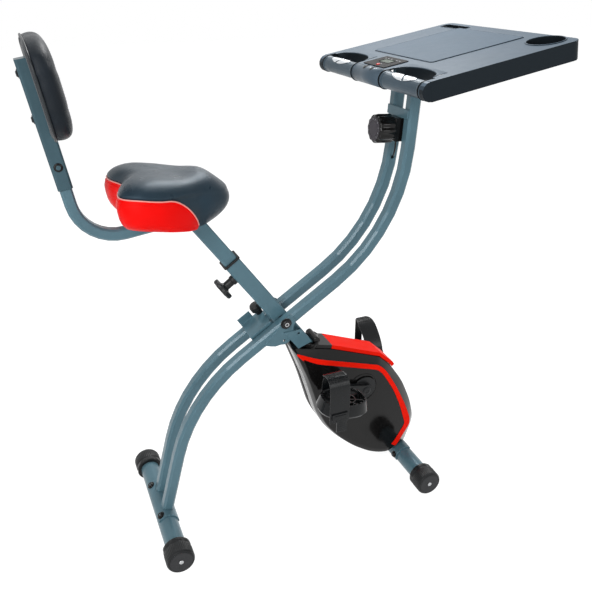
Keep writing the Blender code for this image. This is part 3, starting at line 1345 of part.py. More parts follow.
def console_screen(parent):
    top = GAP + CONSOLE_FACE
    bm = box((SCREEN_START, -SCREEN_HALF_WIDTH, top - 0.0010), (SCREEN_END, SCREEN_HALF_WIDTH, top))
    return node("console_screen", bm, "screen_glass", parent, DESK_FRAME)


def mode_button(parent):
    top = GAP + CONSOLE_FACE + 0.0015
    low = -CONSOLE_BOX_DEPTH + 0.0015 + BUTTON_TRAVEL + GAP
    profile = [(0.0, low), (BUTTON_RADIUS, low), (BUTTON_RADIUS, top - 0.0006), (BUTTON_RADIUS - 0.0008, top),
               (0.0, top)]
    frame = DESK_FRAME @ Matrix.Translation((BUTTON_S, BUTTON_Y, 0))
    return node("mode_button", turned(profile, 16, "Z"), "red_plastic", parent, frame)


# Resistance control

def tension_bracket(parent):
    """Plate welded across the tubes' rear faces with a shelf between them for the control."""
    rear = -TUBE_SIDE / 2 - GAP
    low = TENSION_UP + TENSION_BLOCK_HALF_HEIGHT + GAP
    top = low + TENSION_PLATE_RISE
    outline = [(rear - TENSION_PLATE_THICK, low), (0.008, low), (0.008, low + TENSION_PLATE_THICK),
               (rear, low + TENSION_PLATE_THICK), (rear, top), (rear - TENSION_PLATE_THICK, top)]
    half = TUBE_Y - TUBE_SIDE / 2 - GAP
    body = node("tension_bracket", extrude(outline, -half, half), "powder_coat", parent, HEAD_FRAME)
    wide = TUBE_Y + TUBE_SIDE / 2 - 0.004
    plate = box((rear - TENSION_PLATE_THICK, -wide, low + 0.001), (rear, wide, top))
    return add(body, tool("tension_plate", plate, parent, HEAD_FRAME))


def tension_body(parent):
    """Block of the resistance control, hung between the tubes, bored for the knob's shaft."""
    half = TENSION_BLOCK_HALF_HEIGHT
    outline = rounded_rect((-TENSION_BLOCK_BACK, TENSION_UP - half), (-TENSION_BLOCK_FRONT, TENSION_UP + half),
                           0.004, 2)
    body = node("tension_body", extrude(outline, -TENSION_BLOCK_HALF_WIDTH, TENSION_BLOCK_HALF_WIDTH),
                "black_plastic", parent, HEAD_FRAME)
    bore = shaft(TENSION_SHAFT_RADIUS + 2 * GAP, -TENSION_BLOCK_BACK - PAST, -TENSION_BLOCK_FRONT - 0.006, 16, "X")
    return cut(body, tool("tension_bore", bore, parent, HEAD_FRAME @ Matrix.Translation((0, 0, TENSION_UP))))


def tension_knob(parent):
    """Large round knob facing the rider, with its shaft in the block."""
    face = -TENSION_BLOCK_BACK - 0.0006
    outer = face - TENSION_KNOB_LENGTH
    radius = TENSION_KNOB_RADIUS
    profile = [(0.0, -TENSION_BLOCK_FRONT - 0.0075), (TENSION_SHAFT_RADIUS, -TENSION_BLOCK_FRONT - 0.0075),
               (TENSION_SHAFT_RADIUS, face), (radius * 0.55, face), (radius * 0.60, face - 0.014),
               (radius * 0.94, face - 0.018), (radius, face - 0.023), (radius, outer + 0.006),
               (radius * 0.93, outer), (radius * 0.62, outer), (radius * 0.55, outer + 0.003), (0.0, outer + 0.003)]
    frame = HEAD_FRAME @ Matrix.Translation((0, 0, TENSION_UP))
    return node("tension_knob", turned(profile, 24, "X"), "black_plastic", parent, frame)


def cable_route():
    """From the block's underside down and into the left tube's inner face, in head coordinates."""
    start = TENSION_UP - TENSION_BLOCK_HALF_HEIGHT - GAP
    into = TUBE_Y - TUBE_SIDE / 2
    x = -(TENSION_BLOCK_BACK + TENSION_BLOCK_FRONT) / 2 + 0.006
    return [(x, 0.0, start), (x, 0.0, start - 0.008), (x + 0.001, 0.001, start - 0.018),
            (x + 0.003, 0.006, start - 0.030), (x + 0.006, 0.013, start - 0.040), (-0.003, into + 0.0008, start - 0.047)]


def tension_cable(parent):
    """Cable from the block into the left tube, held at both ends."""
    points = [Vector(point) for point in cable_route()]
    fine = []
    for i in range(len(points) - 1):
        a = points[max(i - 1, 0)]
        b = points[i]
        c = points[i + 1]
        d = points[min(i + 2, len(points) - 1)]
        for s in range(2):
            t = s / 2
            fine.append(0.5 * ((2 * b) + (c - a) * t + (2 * a - 5 * b + 4 * c - d) * t * t
                               + (3 * b - 3 * c + d - a) * t * t * t))
    fine.append(points[-1])
    curve = bpy.data.curves.new("tension_cable", "CURVE")
    curve.dimensions = "3D"
    curve.bevel_depth = CABLE_RADIUS
    curve.bevel_resolution = 2
    curve.use_fill_caps = True
    curve.materials.append(finish_of("rubber"))
    spline = curve.splines.new("POLY")
    spline.points.add(len(fine) - 1)
    for place, point in zip(spline.points, fine):
        place.co = (*point, 1.0)
    obj = bpy.data.objects.new("tension_cable", curve)
    bpy.context.scene.collection.objects.link(obj)
    set_place(obj, parent, HEAD_FRAME)
    return obj


# Seat and backrest

SEAT_HALF = [(-0.408, 0.0), (-0.414, 0.020), (-0.429, 0.055), (-0.428, 0.094), (-0.395, 0.118), (-0.342, 0.118),
             (-0.296, 0.100), (-0.258, 0.079), (-0.222, 0.061), (-0.196, 0.038), (-0.185, 0.0)]


def seat_outline():
    """Plan of the seat: two rounded rear lobes with a notch between, tapering to the nose."""
    left = SEAT_HALF
    right = [(x, -y) for x, y in reversed(SEAT_HALF[1:-1])]
    return smooth_loop(left + right, SEAT_STEPS)


def nose_share(x):
    """0 on the wide rear part of the seat, 1 at the nose."""
    return smooth_step((x + 0.300) / 0.115)


def seam_height(x):
    """How far the seam lies above its middle height: up at the rear and down at the nose."""
    return SEAT_REAR_RISE * smooth_step((-0.335 - x) / 0.075) - SEAT_NOSE_DROP * nose_share(x)


def seat_level(outline, amount):
    """One ring of the crowned top: the outline drawn to the middle, raised by the crown."""
    points = []
    for point in outline:
        seam = SEAT_SEAM_Z + seam_height(point.x) * amount ** 2
        x = SEAT_MID_X + (point.x - SEAT_MID_X) * amount
        points.append((x, point.y * amount, seam + SEAT_CROWN * (1 - amount ** 4)))
    return points


def skirt_point(point, drop, out):
    """A point on the cushion's side: drop 0 at the seam and 1 at the lower edge, out from the surface."""
    share = nose_share(point.x)
    lower = SEAT_SKIRT_SHARE * (1 - share) + SEAT_NOSE_SHARE * share
    if drop < SKIRT_DROPS[1]:
        bulge = SKIRT_BULGES[1] * drop / SKIRT_DROPS[1]
    elif drop < SKIRT_DROPS[2]:
        along = (drop - SKIRT_DROPS[1]) / (SKIRT_DROPS[2] - SKIRT_DROPS[1])
        bulge = SKIRT_BULGES[1] + (SKIRT_BULGES[2] - SKIRT_BULGES[1]) * along
    else:
        bulge = SKIRT_BULGES[2] * (1 - drop) / (1 - SKIRT_DROPS[2])
    amount = 1.0 + (lower - 1.0) * drop + bulge + SEAT_NOSE_BULGE * share * 4 * drop * (1 - drop)
    x = SEAT_MID_X + (point.x - SEAT_MID_X) * amount
    y = point.y * amount
    length = math.hypot(x - SEAT_MID_X, y)
    x += (x - SEAT_MID_X) / length * out
    y += y / length * out
    top = SEAT_SEAM_Z - 0.004 + seam_height(point.x)
    bottom = SEAT_SKIRT_Z * (1 - share) + SEAT_UNDER_NOSE_Z * share
    return (x, y, top + (bottom - top) * drop)


def seat_cushion(parent, cutters):
    """Crowned cushion whose side draws in below the seam, and further where the band lies."""
    outline = seat_outline()

    def tuck(point):
        return -(BAND_THICK + 6 * GAP) * (1 - smooth_step((point.x - BAND_FRONT_X) / 0.020))

    levels = [seat_level(outline, amount) for amount in (0.45, 0.72, 0.86, 0.95, 1.0)]
    levels += [[skirt_point(point, drop, tuck(point)) for point in outline] for drop in SKIRT_DROPS]
    bm = bmesh.new()
    rows = [[bm.verts.new(point) for point in level] for level in levels]
    peak = bm.verts.new((SEAT_MID_X, 0.0, SEAT_SEAM_Z + SEAT_CROWN))
    base = bm.verts.new((SEAT_MID_X, 0.0, SEAT_SKIRT_Z - 0.002))
    count = len(outline)
    for i in range(count):
        j = (i + 1) % count
        bm.faces.new((peak, rows[0][i], rows[0][j]))
        bm.faces.new((base, rows[-1][j], rows[-1][i]))
        for low, high in zip(rows, rows[1:]):
            bm.faces.new((low[i], high[i], high[j], low[j]))
    cushion = node("seat_cushion", close(bm), "slate_vinyl", parent)
    return cut(cushion, *cutters)


def seat_band(parent):
    """Coloured skirt round the rear and sides of the cushion, running out at each side."""
    outline = seat_outline()
    count = len(outline)
    front = [i for i in range(count) if outline[i].x > BAND_FRONT_X]
    bm = bmesh.new()
    rows = []
    for i in range(max(front) - count + 1, min(front)):
        point = outline[i % count]
        ahead = smooth_step((point.x - BAND_FRONT_X + BAND_RUN_OUT) / BAND_RUN_OUT)
        start = BAND_TOP_DROP + BAND_FALL * ahead ** 2
        step = max(SKIRT_DROPS[1], start + (SKIRT_DROPS[2] - start) / 2)
        drops = (start, step, max(SKIRT_DROPS[2], step + (1 - step) / 2), 1.0)
        inner = [skirt_point(point, drop, -BAND_THICK) for drop in drops]
        outer = [skirt_point(point, drop, -GAP) for drop in reversed(drops)]
        rows.append([bm.verts.new(corner) for corner in inner + outer])
    for a, b in zip(rows, rows[1:]):
        for k in range(len(a)):
            m = (k + 1) % len(a)
            bm.faces.new((a[k], a[m], b[m], b[k]))
    bm.faces.new(rows[0])
    bm.faces.new(rows[-1])
    return node("seat_band", close(bm), "red_vinyl", parent)


def seat_post(parent):
    """Inner telescoping post with its top plate and, in the rear face, the height holes."""
    half = SEAT_POST_SIDE / 2
    low = POST_TOP + COLLAR_HEIGHT - SEAT_POST_INSERT
    high = (SEAT_PLATE_Z - PIVOT.z) / POST_FRAME.to_3x3()[2][2] + half
    inner = half - SEAT_POST_WALL
    outline = rounded_rect((-half, -half), (half, half), 0.003, 1)
    bore = rounded_rect((-inner, -inner), (inner, inner), 0.001, 1)
    rings = [[(x, y, z) for x, y in outline] for z in (low, high)]
    bores = [[(x, y, z) for x, y in bore] for z in (low, high)]
    post = node("seat_post", loft(rings, bores), "powder_coat", parent, POST_FRAME)
    trim = box((-0.5, -0.1, SEAT_PLATE_Z + 0.001), (0.0, 0.1, SEAT_PLATE_Z + 0.1))
    plate = box((SEAT_PLATE_REAR_X, -SEAT_PLATE_HALF_WIDTH, SEAT_PLATE_Z),
                (SEAT_PLATE_FRONT_X, SEAT_PLATE_HALF_WIDTH, SEAT_PLATE_Z + SEAT_PLATE_THICK))
    cut(post, tool("seat_post_trim", trim, parent))
    add(post, tool("seat_plate", plate, parent))
    for index in range(SEAT_POST_HOLES):
        up = SEAT_KNOB_UP + (index - 1) * SEAT_POST_HOLE_STEP
        hole = shaft(SEAT_POST_HOLE_RADIUS + GAP, -half - PAST, 0.0, 8, "X")
        cut(post, tool("seat_post_hole_" + str(index), hole, parent,
                       POST_FRAME @ Matrix.Translation((0, 0, up))))
    return post


def backrest_arm(parent, post_space):
    up = BACK_FRAME.to_3x3() @ Vector((0, 0, 1))
    end = xz(ARM_CORNER_X, ARM_CORNER_Z) + up * (SLEEVE_START + SLEEVE_OVERLAP)
    line = centre_line([xz(ARM_FRONT_X, ARM_FRONT_Z), xz(ARM_CORNER_X, ARM_CORNER_Z), end], [ARM_BEND], 8)
    arm = node("backrest_arm", square_tube(line, ARM_SIDE, 0.004, ARM_WALL, corner_steps=1), "powder_coat", parent)
    return cut(arm, post_space)


def backrest_sleeve(parent):
    """Outer square tube over the arm, closed at its top, with its bolts."""
    half = SLEEVE_SIDE / 2
    inner = half - SLEEVE_WALL
    outline = rounded_rect((-half, -half), (half, half), 0.004, 1)
    bore = rounded_rect((-inner, -inner), (inner, inner), 0.002, 1)
    top = SLEEVE_START + SLEEVE_LENGTH
    bm = bmesh.new()
    levels = [(bore, top - 0.004), (bore, SLEEVE_START), (outline, SLEEVE_START), (outline, top)]
    rows = [[bm.verts.new((x, y, z)) for x, y in loop] for loop, z in levels]
    for low, high in zip(rows, rows[1:]):
        for i in range(len(low)):
            j = (i + 1) % len(low)
            bm.faces.new((low[i], low[j], high[j], high[i]))
    bm.faces.new(rows[0])
    bm.faces.new(rows[-1])
    sleeve = node("backrest_sleeve", close(bm), "powder_coat", parent, BACK_FRAME)
    sunk = half - SLEEVE_WALL / 2
    head = half + BACK_BOLT_HEAD
    profile = [(0.0, -sunk), (BACK_BOLT_RADIUS, -sunk), (BACK_BOLT_RADIUS, -head + BACK_BOLT_HEAD * 0.4),
               (BACK_BOLT_RADIUS * 0.7, -head), (0.0, -head)]
    for index, (axis, up) in enumerate((("X", PAD_UP - 0.055), ("X", PAD_UP + 0.030), ("Y", SLEEVE_START + 0.047))):
        bolt = turned(profile, 12, axis)
        add(sleeve, tool("backrest_bolt_" + str(index), bolt, parent, BACK_FRAME @ Matrix.Translation((0, 0, up))))
    return sleeve


def backrest_pad(parent, sleeve_space):
    """Crowned pad with drawn-in sides, its back grooved for the sleeve."""
    front_of_sleeve = SLEEVE_SIDE / 2
    back = front_of_sleeve - PAD_SUNK
    half_w = PAD_WIDTH / 2
    half_h = PAD_HEIGHT / 2
    base = rounded_rect((-half_w, -half_h), (half_w, half_h), PAD_CORNER, 7)
    levels = [(0.90, 0.0), (0.97, 0.10), (1.0, 0.38), (0.985, 0.62), (0.93, 0.80), (0.82, 0.91), (0.62, 0.975)]
    bm = bmesh.new()
    rows = []
    for scale, depth in levels:
        rows.append([bm.verts.new((back + PAD_THICK * depth, y * scale, z * scale)) for y, z in base])
    peak = bm.verts.new((back + PAD_THICK, 0.0, 0.0))
    count = len(base)
    for i in range(count):
        j = (i + 1) % count
        bm.faces.new((peak, rows[-1][i], rows[-1][j]))
        for low, high in zip(rows, rows[1:]):
            bm.faces.new((low[i], low[j], high[j], high[i]))
    bm.faces.new(rows[0])
    pad = node("backrest_pad", close(bm), "slate_vinyl", parent, BACK_FRAME @ Matrix.Translation((0, 0, PAD_UP)))
    return cut(pad, sleeve_space)


# Assembly

def square_space(name, side, low, high, parent, frame, extra=GAP):
    """Cutter for what a square tube passes through."""
    half = side / 2 + extra
    return tool(name, box((-half, -half, low), (half, half, high)), parent, frame)


def build():
    clear_scene()
    root = empty("bike", None, HOME)
    fold = empty("fold_axis", root, Matrix.Translation(PIVOT))
    crank = empty("crank_axis", fold, Matrix.Translation(CRANK))
    wheel = empty("flywheel_axis", fold, Matrix.Translation(FLYWHEEL_CENTRE))
    seat = empty("seat_slide", fold, POST_FRAME)
    pedals = {side: empty(word + "_pedal_axis", crank, Matrix.Translation(pedal_centre(side)))
              for side, word in ((-1, "right"), (1, "left"))}

    rear_heading = LOWER_CORNER - REAR_FOOT
    front_heading = PIVOT - FRONT_FOOT
    rear_notch = foot_notch("rear_notch", REAR_FOOT, root)
    front_notch = foot_notch("front_notch", FRONT_FOOT, fold)
    lock_hole = tool("lock_catch_hole", shaft(LOCK_PIN_RADIUS + 2 * GAP, 0.0, TUBE_SIDE, 12, "Z"), root,
                     SLOPE_FRAME @ Matrix.Translation((-LOCK_KNOB_BACK, TUBE_Y, 0)))
    cable_end = Vector(cable_route()[-1])
    cable_hole = tool("cable_hole", shaft(CABLE_RADIUS * 2.2, TUBE_Y - TUBE_SIDE, TUBE_Y, 10), root,
                      HEAD_FRAME @ Matrix.Translation((cable_end.x, 0, cable_end.z)))

    for word, foot, heading, parent in (("rear", REAR_FOOT, rear_heading, root),
                                        ("front", FRONT_FOOT, front_heading, fold)):
        foot_tube(word + "_foot_tube", foot, parent)
        foot_saddle(word + "_foot_saddle", foot, heading, FOOT_BOLT_ANGLE, parent)
        for side_word, side in (("right", -1), ("left", 1)):
            foot_cap(side_word + "_" + word + "_cap", foot, side, parent)

    pivot_bore = frame_tubes(root, rear_notch, lock_hole, cable_hole)
    pivot_bolt(root)

    reach = 2.0
    post_space = square_space("post_space", POST_SIDE, -reach, POST_TOP, fold, POST_FRAME)
    main_post(fold, pivot_bore, front_notch)
    post_collar(fold)
    lock_bracket(fold, post_space)
    for word, side in (("right", -1), ("left", 1)):
        post_cheek(word + "_post_cheek", side, fold)
    lock_knob(fold)
    seat_knob(fold)

    wide_post_space = square_space("wide_post_space", POST_SIDE, -reach, reach, fold, POST_FRAME, 0.001)
    crank_opening = tool("crank_opening", shaft(CRANK_HOLE_RADIUS, -0.1, 0.1, 28), fold, Matrix.Translation(CRANK))
    foot_space = FOOT_RADIUS + GAP + SADDLE_THICK + HOUSING_FOOT_CLEAR
    foot_opening = tool("foot_opening", shaft(foot_space, -0.1, 0.1, 28), fold, Matrix.Translation(FRONT_FOOT))
    for word, side in (("right", -1), ("left", 1)):
        housing_half(word + "_housing", side, fold, (wide_post_space, crank_opening, foot_opening))
    housing_top_cap(fold, wide_post_space)
    housing_red_cover(fold, wide_post_space)
    for word, side in (("right", -1), ("left", 1)):
        housing_stripe(word + "_red_stripe", side, fold)

    crank_shell(fold)
    for word, side in (("right", -1), ("left", 1)):
        crank_bearing(word + "_crank_bearing", side, fold)
    belt(fold)
    magnet_carrier(fold)
    crank_axle(crank)
    crank_pulley(crank)
    flywheel(wheel)
    flywheel_axle(wheel)
    for word, side in (("right", -1), ("left", 1)):
        crank_arm(word + "_crank_arm", side, crank)
        pedal(word + "_pedal", side, pedals[side])
        strap(word + "_strap", side, pedals[side])

    seat_post_space = square_space("seat_post_space", SEAT_POST_SIDE, -reach, reach, seat, POST_FRAME, 2 * GAP)
    arm_half = ARM_SIDE / 2 + 0.001
    run = xz(ARM_FRONT_X, ARM_FRONT_Z) - xz(ARM_CORNER_X, ARM_CORNER_Z)
    arm_space = tool("arm_space", box((-arm_half, -arm_half, 0.0), (arm_half, arm_half, run.length + 0.02)), seat,
                     line_frame(xz(ARM_CORNER_X, ARM_CORNER_Z), run))
    plate_space = tool("plate_space", box((SEAT_PLATE_REAR_X - GAP, -SEAT_PLATE_HALF_WIDTH - GAP, SEAT_PLATE_Z - 0.1),
                                          (SEAT_PLATE_FRONT_X + GAP, SEAT_PLATE_HALF_WIDTH + GAP,
                                           SEAT_PLATE_Z + SEAT_PLATE_THICK + GAP)), seat)
    sleeve_space = square_space("sleeve_space", SLEEVE_SIDE, -1.0, 1.0, seat, BACK_FRAME)
    seat_post(seat)
    post_up = POST_FRAME.to_3x3() @ Vector((0, 0, 1))
    under_plate = (SEAT_PLATE_Z - PIVOT.z + SEAT_POST_SIDE / 2 * post_up.x) / post_up.z
    cushion_space = square_space("cushion_space", SEAT_POST_SIDE, 0.0, under_plate, seat, POST_FRAME, 0.001)
    seat_cushion(seat, (plate_space, cushion_space))
    seat_band(seat)
    backrest_arm(seat, seat_post_space)
    backrest_sleeve(seat)
    backrest_pad(seat, sleeve_space)

    desk_shell(root)
    desk_mat(root)
    desk_bracket(root)
    grip_bar(root)
    for word, side in (("right", -1), ("left", 1)):
        grip(word + "_grip", side, root)
        pulse_plate(word + "_pulse_plate", side, root)
    console_case(root)
    console_screen(root)
    mode_button(root)

    tension_bracket(root)
    tension_body(root)
    tension_knob(root)
    tension_cable(root)
    return root


def stand_on_origin(root):
    """Move the whole bike so that the middle of its box's underside is the origin."""
    bpy.context.view_layer.update()
    depsgraph = bpy.context.evaluated_depsgraph_get()
    corners = []
    for obj in bpy.data.objects:
        if obj.type in ("MESH", "CURVE") and not obj.hide_render:
            evaluated = obj.evaluated_get(depsgraph)
            mesh = evaluated.to_mesh()
            corners += [evaluated.matrix_world @ vert.co for vert in mesh.vertices]
            evaluated.to_mesh_clear()
    low = [min(corner[i] for corner in corners) for i in range(3)]
    high = [max(corner[i] for corner in corners) for i in range(3)]
    root.location = (-(low[0] + high[0]) / 2, -(low[1] + high[1]) / 2, -low[2])
    bpy.context.view_layer.update()


stand_on_origin(build())
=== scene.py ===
from math import atan2, copysign, cos, exp, hypot, pi, radians, sin

import bmesh
import bpy
from mathutils import Matrix, Vector


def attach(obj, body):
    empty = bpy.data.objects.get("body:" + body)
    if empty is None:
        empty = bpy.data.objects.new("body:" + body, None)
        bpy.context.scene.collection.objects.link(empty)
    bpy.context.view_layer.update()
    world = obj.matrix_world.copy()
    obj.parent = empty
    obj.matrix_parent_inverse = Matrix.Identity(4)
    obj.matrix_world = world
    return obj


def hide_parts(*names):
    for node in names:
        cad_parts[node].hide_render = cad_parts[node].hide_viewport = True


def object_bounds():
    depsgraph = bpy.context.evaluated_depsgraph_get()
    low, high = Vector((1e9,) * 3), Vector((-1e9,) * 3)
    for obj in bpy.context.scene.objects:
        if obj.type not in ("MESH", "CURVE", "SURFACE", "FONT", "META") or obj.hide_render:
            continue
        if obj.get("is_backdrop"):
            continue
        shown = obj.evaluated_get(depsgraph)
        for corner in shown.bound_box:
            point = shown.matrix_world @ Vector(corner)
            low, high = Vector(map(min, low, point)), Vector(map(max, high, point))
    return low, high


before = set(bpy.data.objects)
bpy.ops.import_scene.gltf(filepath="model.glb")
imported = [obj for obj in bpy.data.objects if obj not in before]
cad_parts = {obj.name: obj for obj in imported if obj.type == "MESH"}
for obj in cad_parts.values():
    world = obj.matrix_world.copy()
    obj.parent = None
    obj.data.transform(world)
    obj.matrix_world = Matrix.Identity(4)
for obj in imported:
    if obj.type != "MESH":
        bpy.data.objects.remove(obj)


def plain_box():
    return [[float(value) for value in corner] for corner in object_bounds()]


CAD_BOX = plain_box()

# Places in the row frame, in metres
ORIGIN_X = 0.018969
PIVOT = Vector((-0.04637, 0.0, 0.53732))
POST_UP = Vector((-0.583419, 0.0, 0.812172))
CRANK = Vector((0.1741, 0.0, 0.29983))
DESK_ORIGIN = Vector((0.18247, 0.0, 1.1137))
DESK_UP = Vector((-0.174507, 0.0, 0.984656))
HEAD_UP = Vector((0.060638, 0.0, 0.99816))
DIAL = Vector((0.24211, 0.0, 0.97197))
BACK_CORNER = Vector((-0.499 + ORIGIN_X, 0.0, 0.793))
BACK_TILT = radians(9.0)
PEDALS = {-1: Vector((0.07316, -0.133, 0.32688)), 1: Vector((0.27504, 0.133, 0.27278))}
REAR_FOOT = Vector((-0.400 + ORIGIN_X, 0.0, 0.035))
FRONT_FOOT = Vector((0.2955 + ORIGIN_X, 0.0, 0.035))
SIDES = ((-1, "right"), (1, "left"))
FEET = ((REAR_FOOT, "desk_frame", "rear"), (FRONT_FOOT, "drive_frame", "front"))

moved = Matrix.Translation


def spin(angle, axis):
    return Matrix.Rotation(angle, 4, axis)


def line_frame(origin, direction):
    """A frame with local Z along a direction in the XZ plane and local Y along world Y."""
    up = direction.normalized()
    side = Vector((0.0, 1.0, 0.0))
    result = Matrix((side.cross(up), side, up)).transposed().to_4x4()
    result.translation = origin
    return result


POST_FRAME = line_frame(PIVOT, POST_UP)
DESK_FRAME = line_frame(DESK_ORIGIN, DESK_UP)
HEAD_FRAME = line_frame(DIAL, HEAD_UP)
BACK_FRAME = line_frame(BACK_CORNER, Vector((-sin(BACK_TILT), 0.0, cos(BACK_TILT))))
ROW_PLACE = moved((ORIGIN_X, 0.0, 0.0))


# Materials

def configured(target, **settings):
    for key, value in settings.items():
        setattr(target, key, value)
    return target


class Nodes:
    """A short way to add and join the nodes of one material or world."""

    def __init__(self, holder):
        holder.use_nodes = True
        self.tree = holder.node_tree
        self.shader = self.tree.nodes.get("Principled BSDF")
        self.coordinates = self.add("TexCoord").outputs

    def add(self, kind, values=None, **settings):
        made = configured(self.tree.nodes.new("ShaderNode" + kind), **settings)
        self.fill(made, values or {})
        return made

    def fill(self, node, values):
        """Gives inputs, by name or number, a number, a colour, a vector or the link from an output."""
        for key, value in values.items():
            target = node.inputs[key]
            if isinstance(value, tuple):
                target.default_value = (*value, 1.0) if target.type == "RGBA" else value
            elif isinstance(value, (int, float)):
                target.default_value = value
            else:
                self.tree.links.new(value, target)

    def noise(self, scale, detail=3.0, place=None):
        values = {"Scale": scale, "Detail": detail, "Vector": place or self.coordinates["Object"]}
        return self.add("TexNoise", values).outputs["Fac"]

    def spread(self, source, low, high, start=0.3, end=0.7):
        """The source from start to end becomes low to high."""
        values = dict(enumerate((source, start, end, low, high)))
        return self.add("MapRange", values).outputs["Result"]

    def sum(self, kind, a, b):
        return self.add("Math", {0: a, 1: b}, operation=kind).outputs[0]

    def dot(self, a, b):
        return self.add("VectorMath", {0: a, 1: b}, operation="DOT_PRODUCT").outputs["Value"]

    def blend(self, share, a, b):
        """The colour a where share is 0, and b where it is 1; mix does the same for shaders."""
        return self.add("Mix", {0: share, 6: a, 7: b}, data_type="RGBA").outputs[2]

    def mix(self, share, a, b):
        return self.add("MixShader", {0: share, 1: a, 2: b}).outputs[0]


def shade(colour, amount):
    return tuple(min(max(channel * amount, 0.0), 1.0) for channel in colour)


WHITE = (1.0, 1.0, 1.0)
BLUE_GLINT = (0.62, 0.84, 1.0)
DRIFT_SCALE, ROUGH_SCALE, RUB_SCALE = 14, 45, 70
WEAR_AND_GLINT_SHADE = 1.9
BUMP_STRENGTH = 0.5
CELL_BEND = (0.0016, 0.0016, 0.0016)
BRUSH_STRETCH = (1.0, 0.02, 1.0)


def surface(name, colour, rough, metal=0.0, grain=(500, 0.0001), mottle=0.07, wear_and_glint=0.0, coat=0.0,
            coat_rough=0.08, edge=0.0008, pattern="noise", level=0.5, spread=0.05, tint=WHITE):
    """A finish with soft colour variation, a bumped grain, rounded edges and, where asked, pale edges that are partly
    wear and partly a painted highlight.
    """
    material = bpy.data.materials.new(name)
    made = Nodes(material)
    place = made.coordinates["Object"]
    drift = made.spread(made.noise(DRIFT_SCALE, 4.0), 0.0, 1.0)
    paint = made.blend(drift, shade(colour, 1 - mottle), shade(colour, 1 + mottle))
    rounded = made.add("Bevel", {"Radius": edge}, samples=4).outputs["Normal"]
    # Pale rounded edges: partly wear, partly a painted highlight along the edges
    if wear_and_glint > 0.0:
        turned = made.dot(rounded, made.add("NewGeometry").outputs["Normal"])
        patches = made.spread(made.noise(RUB_SCALE, 4.0), 0.3, 1.0, 0.4, 0.6)
        rub_and_glint = made.sum("MULTIPLY", made.spread(turned, wear_and_glint, 0.0, 0.86, 0.995), patches)
        paint = made.blend(rub_and_glint, paint, shade(colour, WEAR_AND_GLINT_SHADE))
    scale, depth = grain
    if pattern == "leather":
        wobble = made.add("TexNoise", {"Scale": scale * 0.4, "Vector": place}).outputs["Color"]
        bent = made.add("VectorMath", {0: wobble, 1: CELL_BEND, 2: place}, operation="MULTIPLY_ADD")
        cells = made.add("TexVoronoi", {"Scale": scale, "Vector": bent.outputs["Vector"]}, feature="DISTANCE_TO_EDGE")
        height = made.sum("ADD", made.spread(cells.outputs["Distance"], 0.0, 0.8, 0.0, 0.18),
                          made.sum("MULTIPLY", made.noise(scale * 2, 2.0), 0.3))
    elif pattern == "brushed":
        stretch = made.add("Mapping", {"Scale": BRUSH_STRETCH, "Vector": place})
        height = made.noise(scale, 4.0, stretch.outputs["Vector"])
    else:
        height = made.noise(scale)
    bump = made.add("Bump", {"Strength": BUMP_STRENGTH, "Distance": depth, "Height": height, "Normal": rounded})
    made.fill(made.shader, {
        "Base Color": paint, "Metallic": metal, "Coat Weight": coat, "Coat Roughness": coat_rough,
        "Specular IOR Level": level, "Specular Tint": tint, "Normal": bump.outputs["Normal"],
        "Roughness": made.spread(made.noise(ROUGH_SCALE, 5.0), rough - spread, rough + spread)})
    return material


SLATE = (0.08, 0.156, 0.192)
powder = surface("powder_coat", SLATE, 0.33, grain=(1500, 0.00022), wear_and_glint=0.6, edge=0.0028, coat=0.2,
                 coat_rough=0.12, level=0.3, tint=BLUE_GLINT)
# A darker copy of the powder coat: painted shade for the backrest sleeve, which the pad shades
powder_painted_shade = surface("powder_painted_shade", shade(SLATE, 0.55), 0.34, grain=(1500, 0.00022), wear_and_glint=0.4, edge=0.0018,
                      coat=0.1, level=0.25, tint=BLUE_GLINT)
black = surface("black_plastic", (0.008, 0.009, 0.01), 0.38, grain=(1100, 0.00025), wear_and_glint=0.35, edge=0.0012,
                level=0.25)
gloss = surface("gloss_black", (0.006, 0.0058, 0.0058), 0.12, grain=(160, 0.00005), wear_and_glint=0.1, edge=0.0022,
                level=0.22, spread=0.03)
console_black = surface("console_black", (0.004, 0.004, 0.005), 0.35, grain=(900, 0.0001), level=0.02)
red = surface("red_plastic", (0.92, 0.012, 0.003), 0.42, grain=(400, 0.00005), mottle=0.03, edge=0.0016, level=0.03)
desk_plastic = surface("desk_plastic", (0.082, 0.12, 0.162), 0.42, grain=(1300, 0.0001), wear_and_glint=0.25, edge=0.0018,
                       level=0.08, spread=0.03, mottle=0.04, tint=BLUE_GLINT)
mat_plastic = surface("mat_plastic", (0.096, 0.138, 0.184), 0.52, grain=(900, 0.0002), mottle=0.03, wear_and_glint=0.15,
                      level=0.06, spread=0.02, tint=BLUE_GLINT)
# A paler desk plastic for the edge bead: a painted highlight along the desk's top edge
rim_highlight_plastic = surface("rim_highlight_plastic", (0.26, 0.33, 0.39), 0.36, grain=(900, 0.0001), mottle=0.03, level=0.4)
barrel_plastic = surface("barrel_plastic", (0.07, 0.1, 0.13), 0.34, grain=(1300, 0.0001), mottle=0.05,
                         wear_and_glint=0.2, level=0.25, tint=BLUE_GLINT)
foam = surface("grip_foam", (0.046, 0.07, 0.092), 0.36, grain=(520, 0.0003), mottle=0.1, edge=0.0015, level=0.22,
               tint=BLUE_GLINT)
chrome = surface("chrome", (0.66, 0.69, 0.72), 0.24, metal=1.0, grain=(350, 0.00002), mottle=0.02, pattern="brushed")
steel = surface("steel", (0.5, 0.51, 0.52), 0.3, metal=1.0, grain=(600, 0.00008), mottle=0.08)
cast = surface("cast_metal", (0.16, 0.16, 0.17), 0.5, metal=0.8, grain=(500, 0.0004), mottle=0.15)
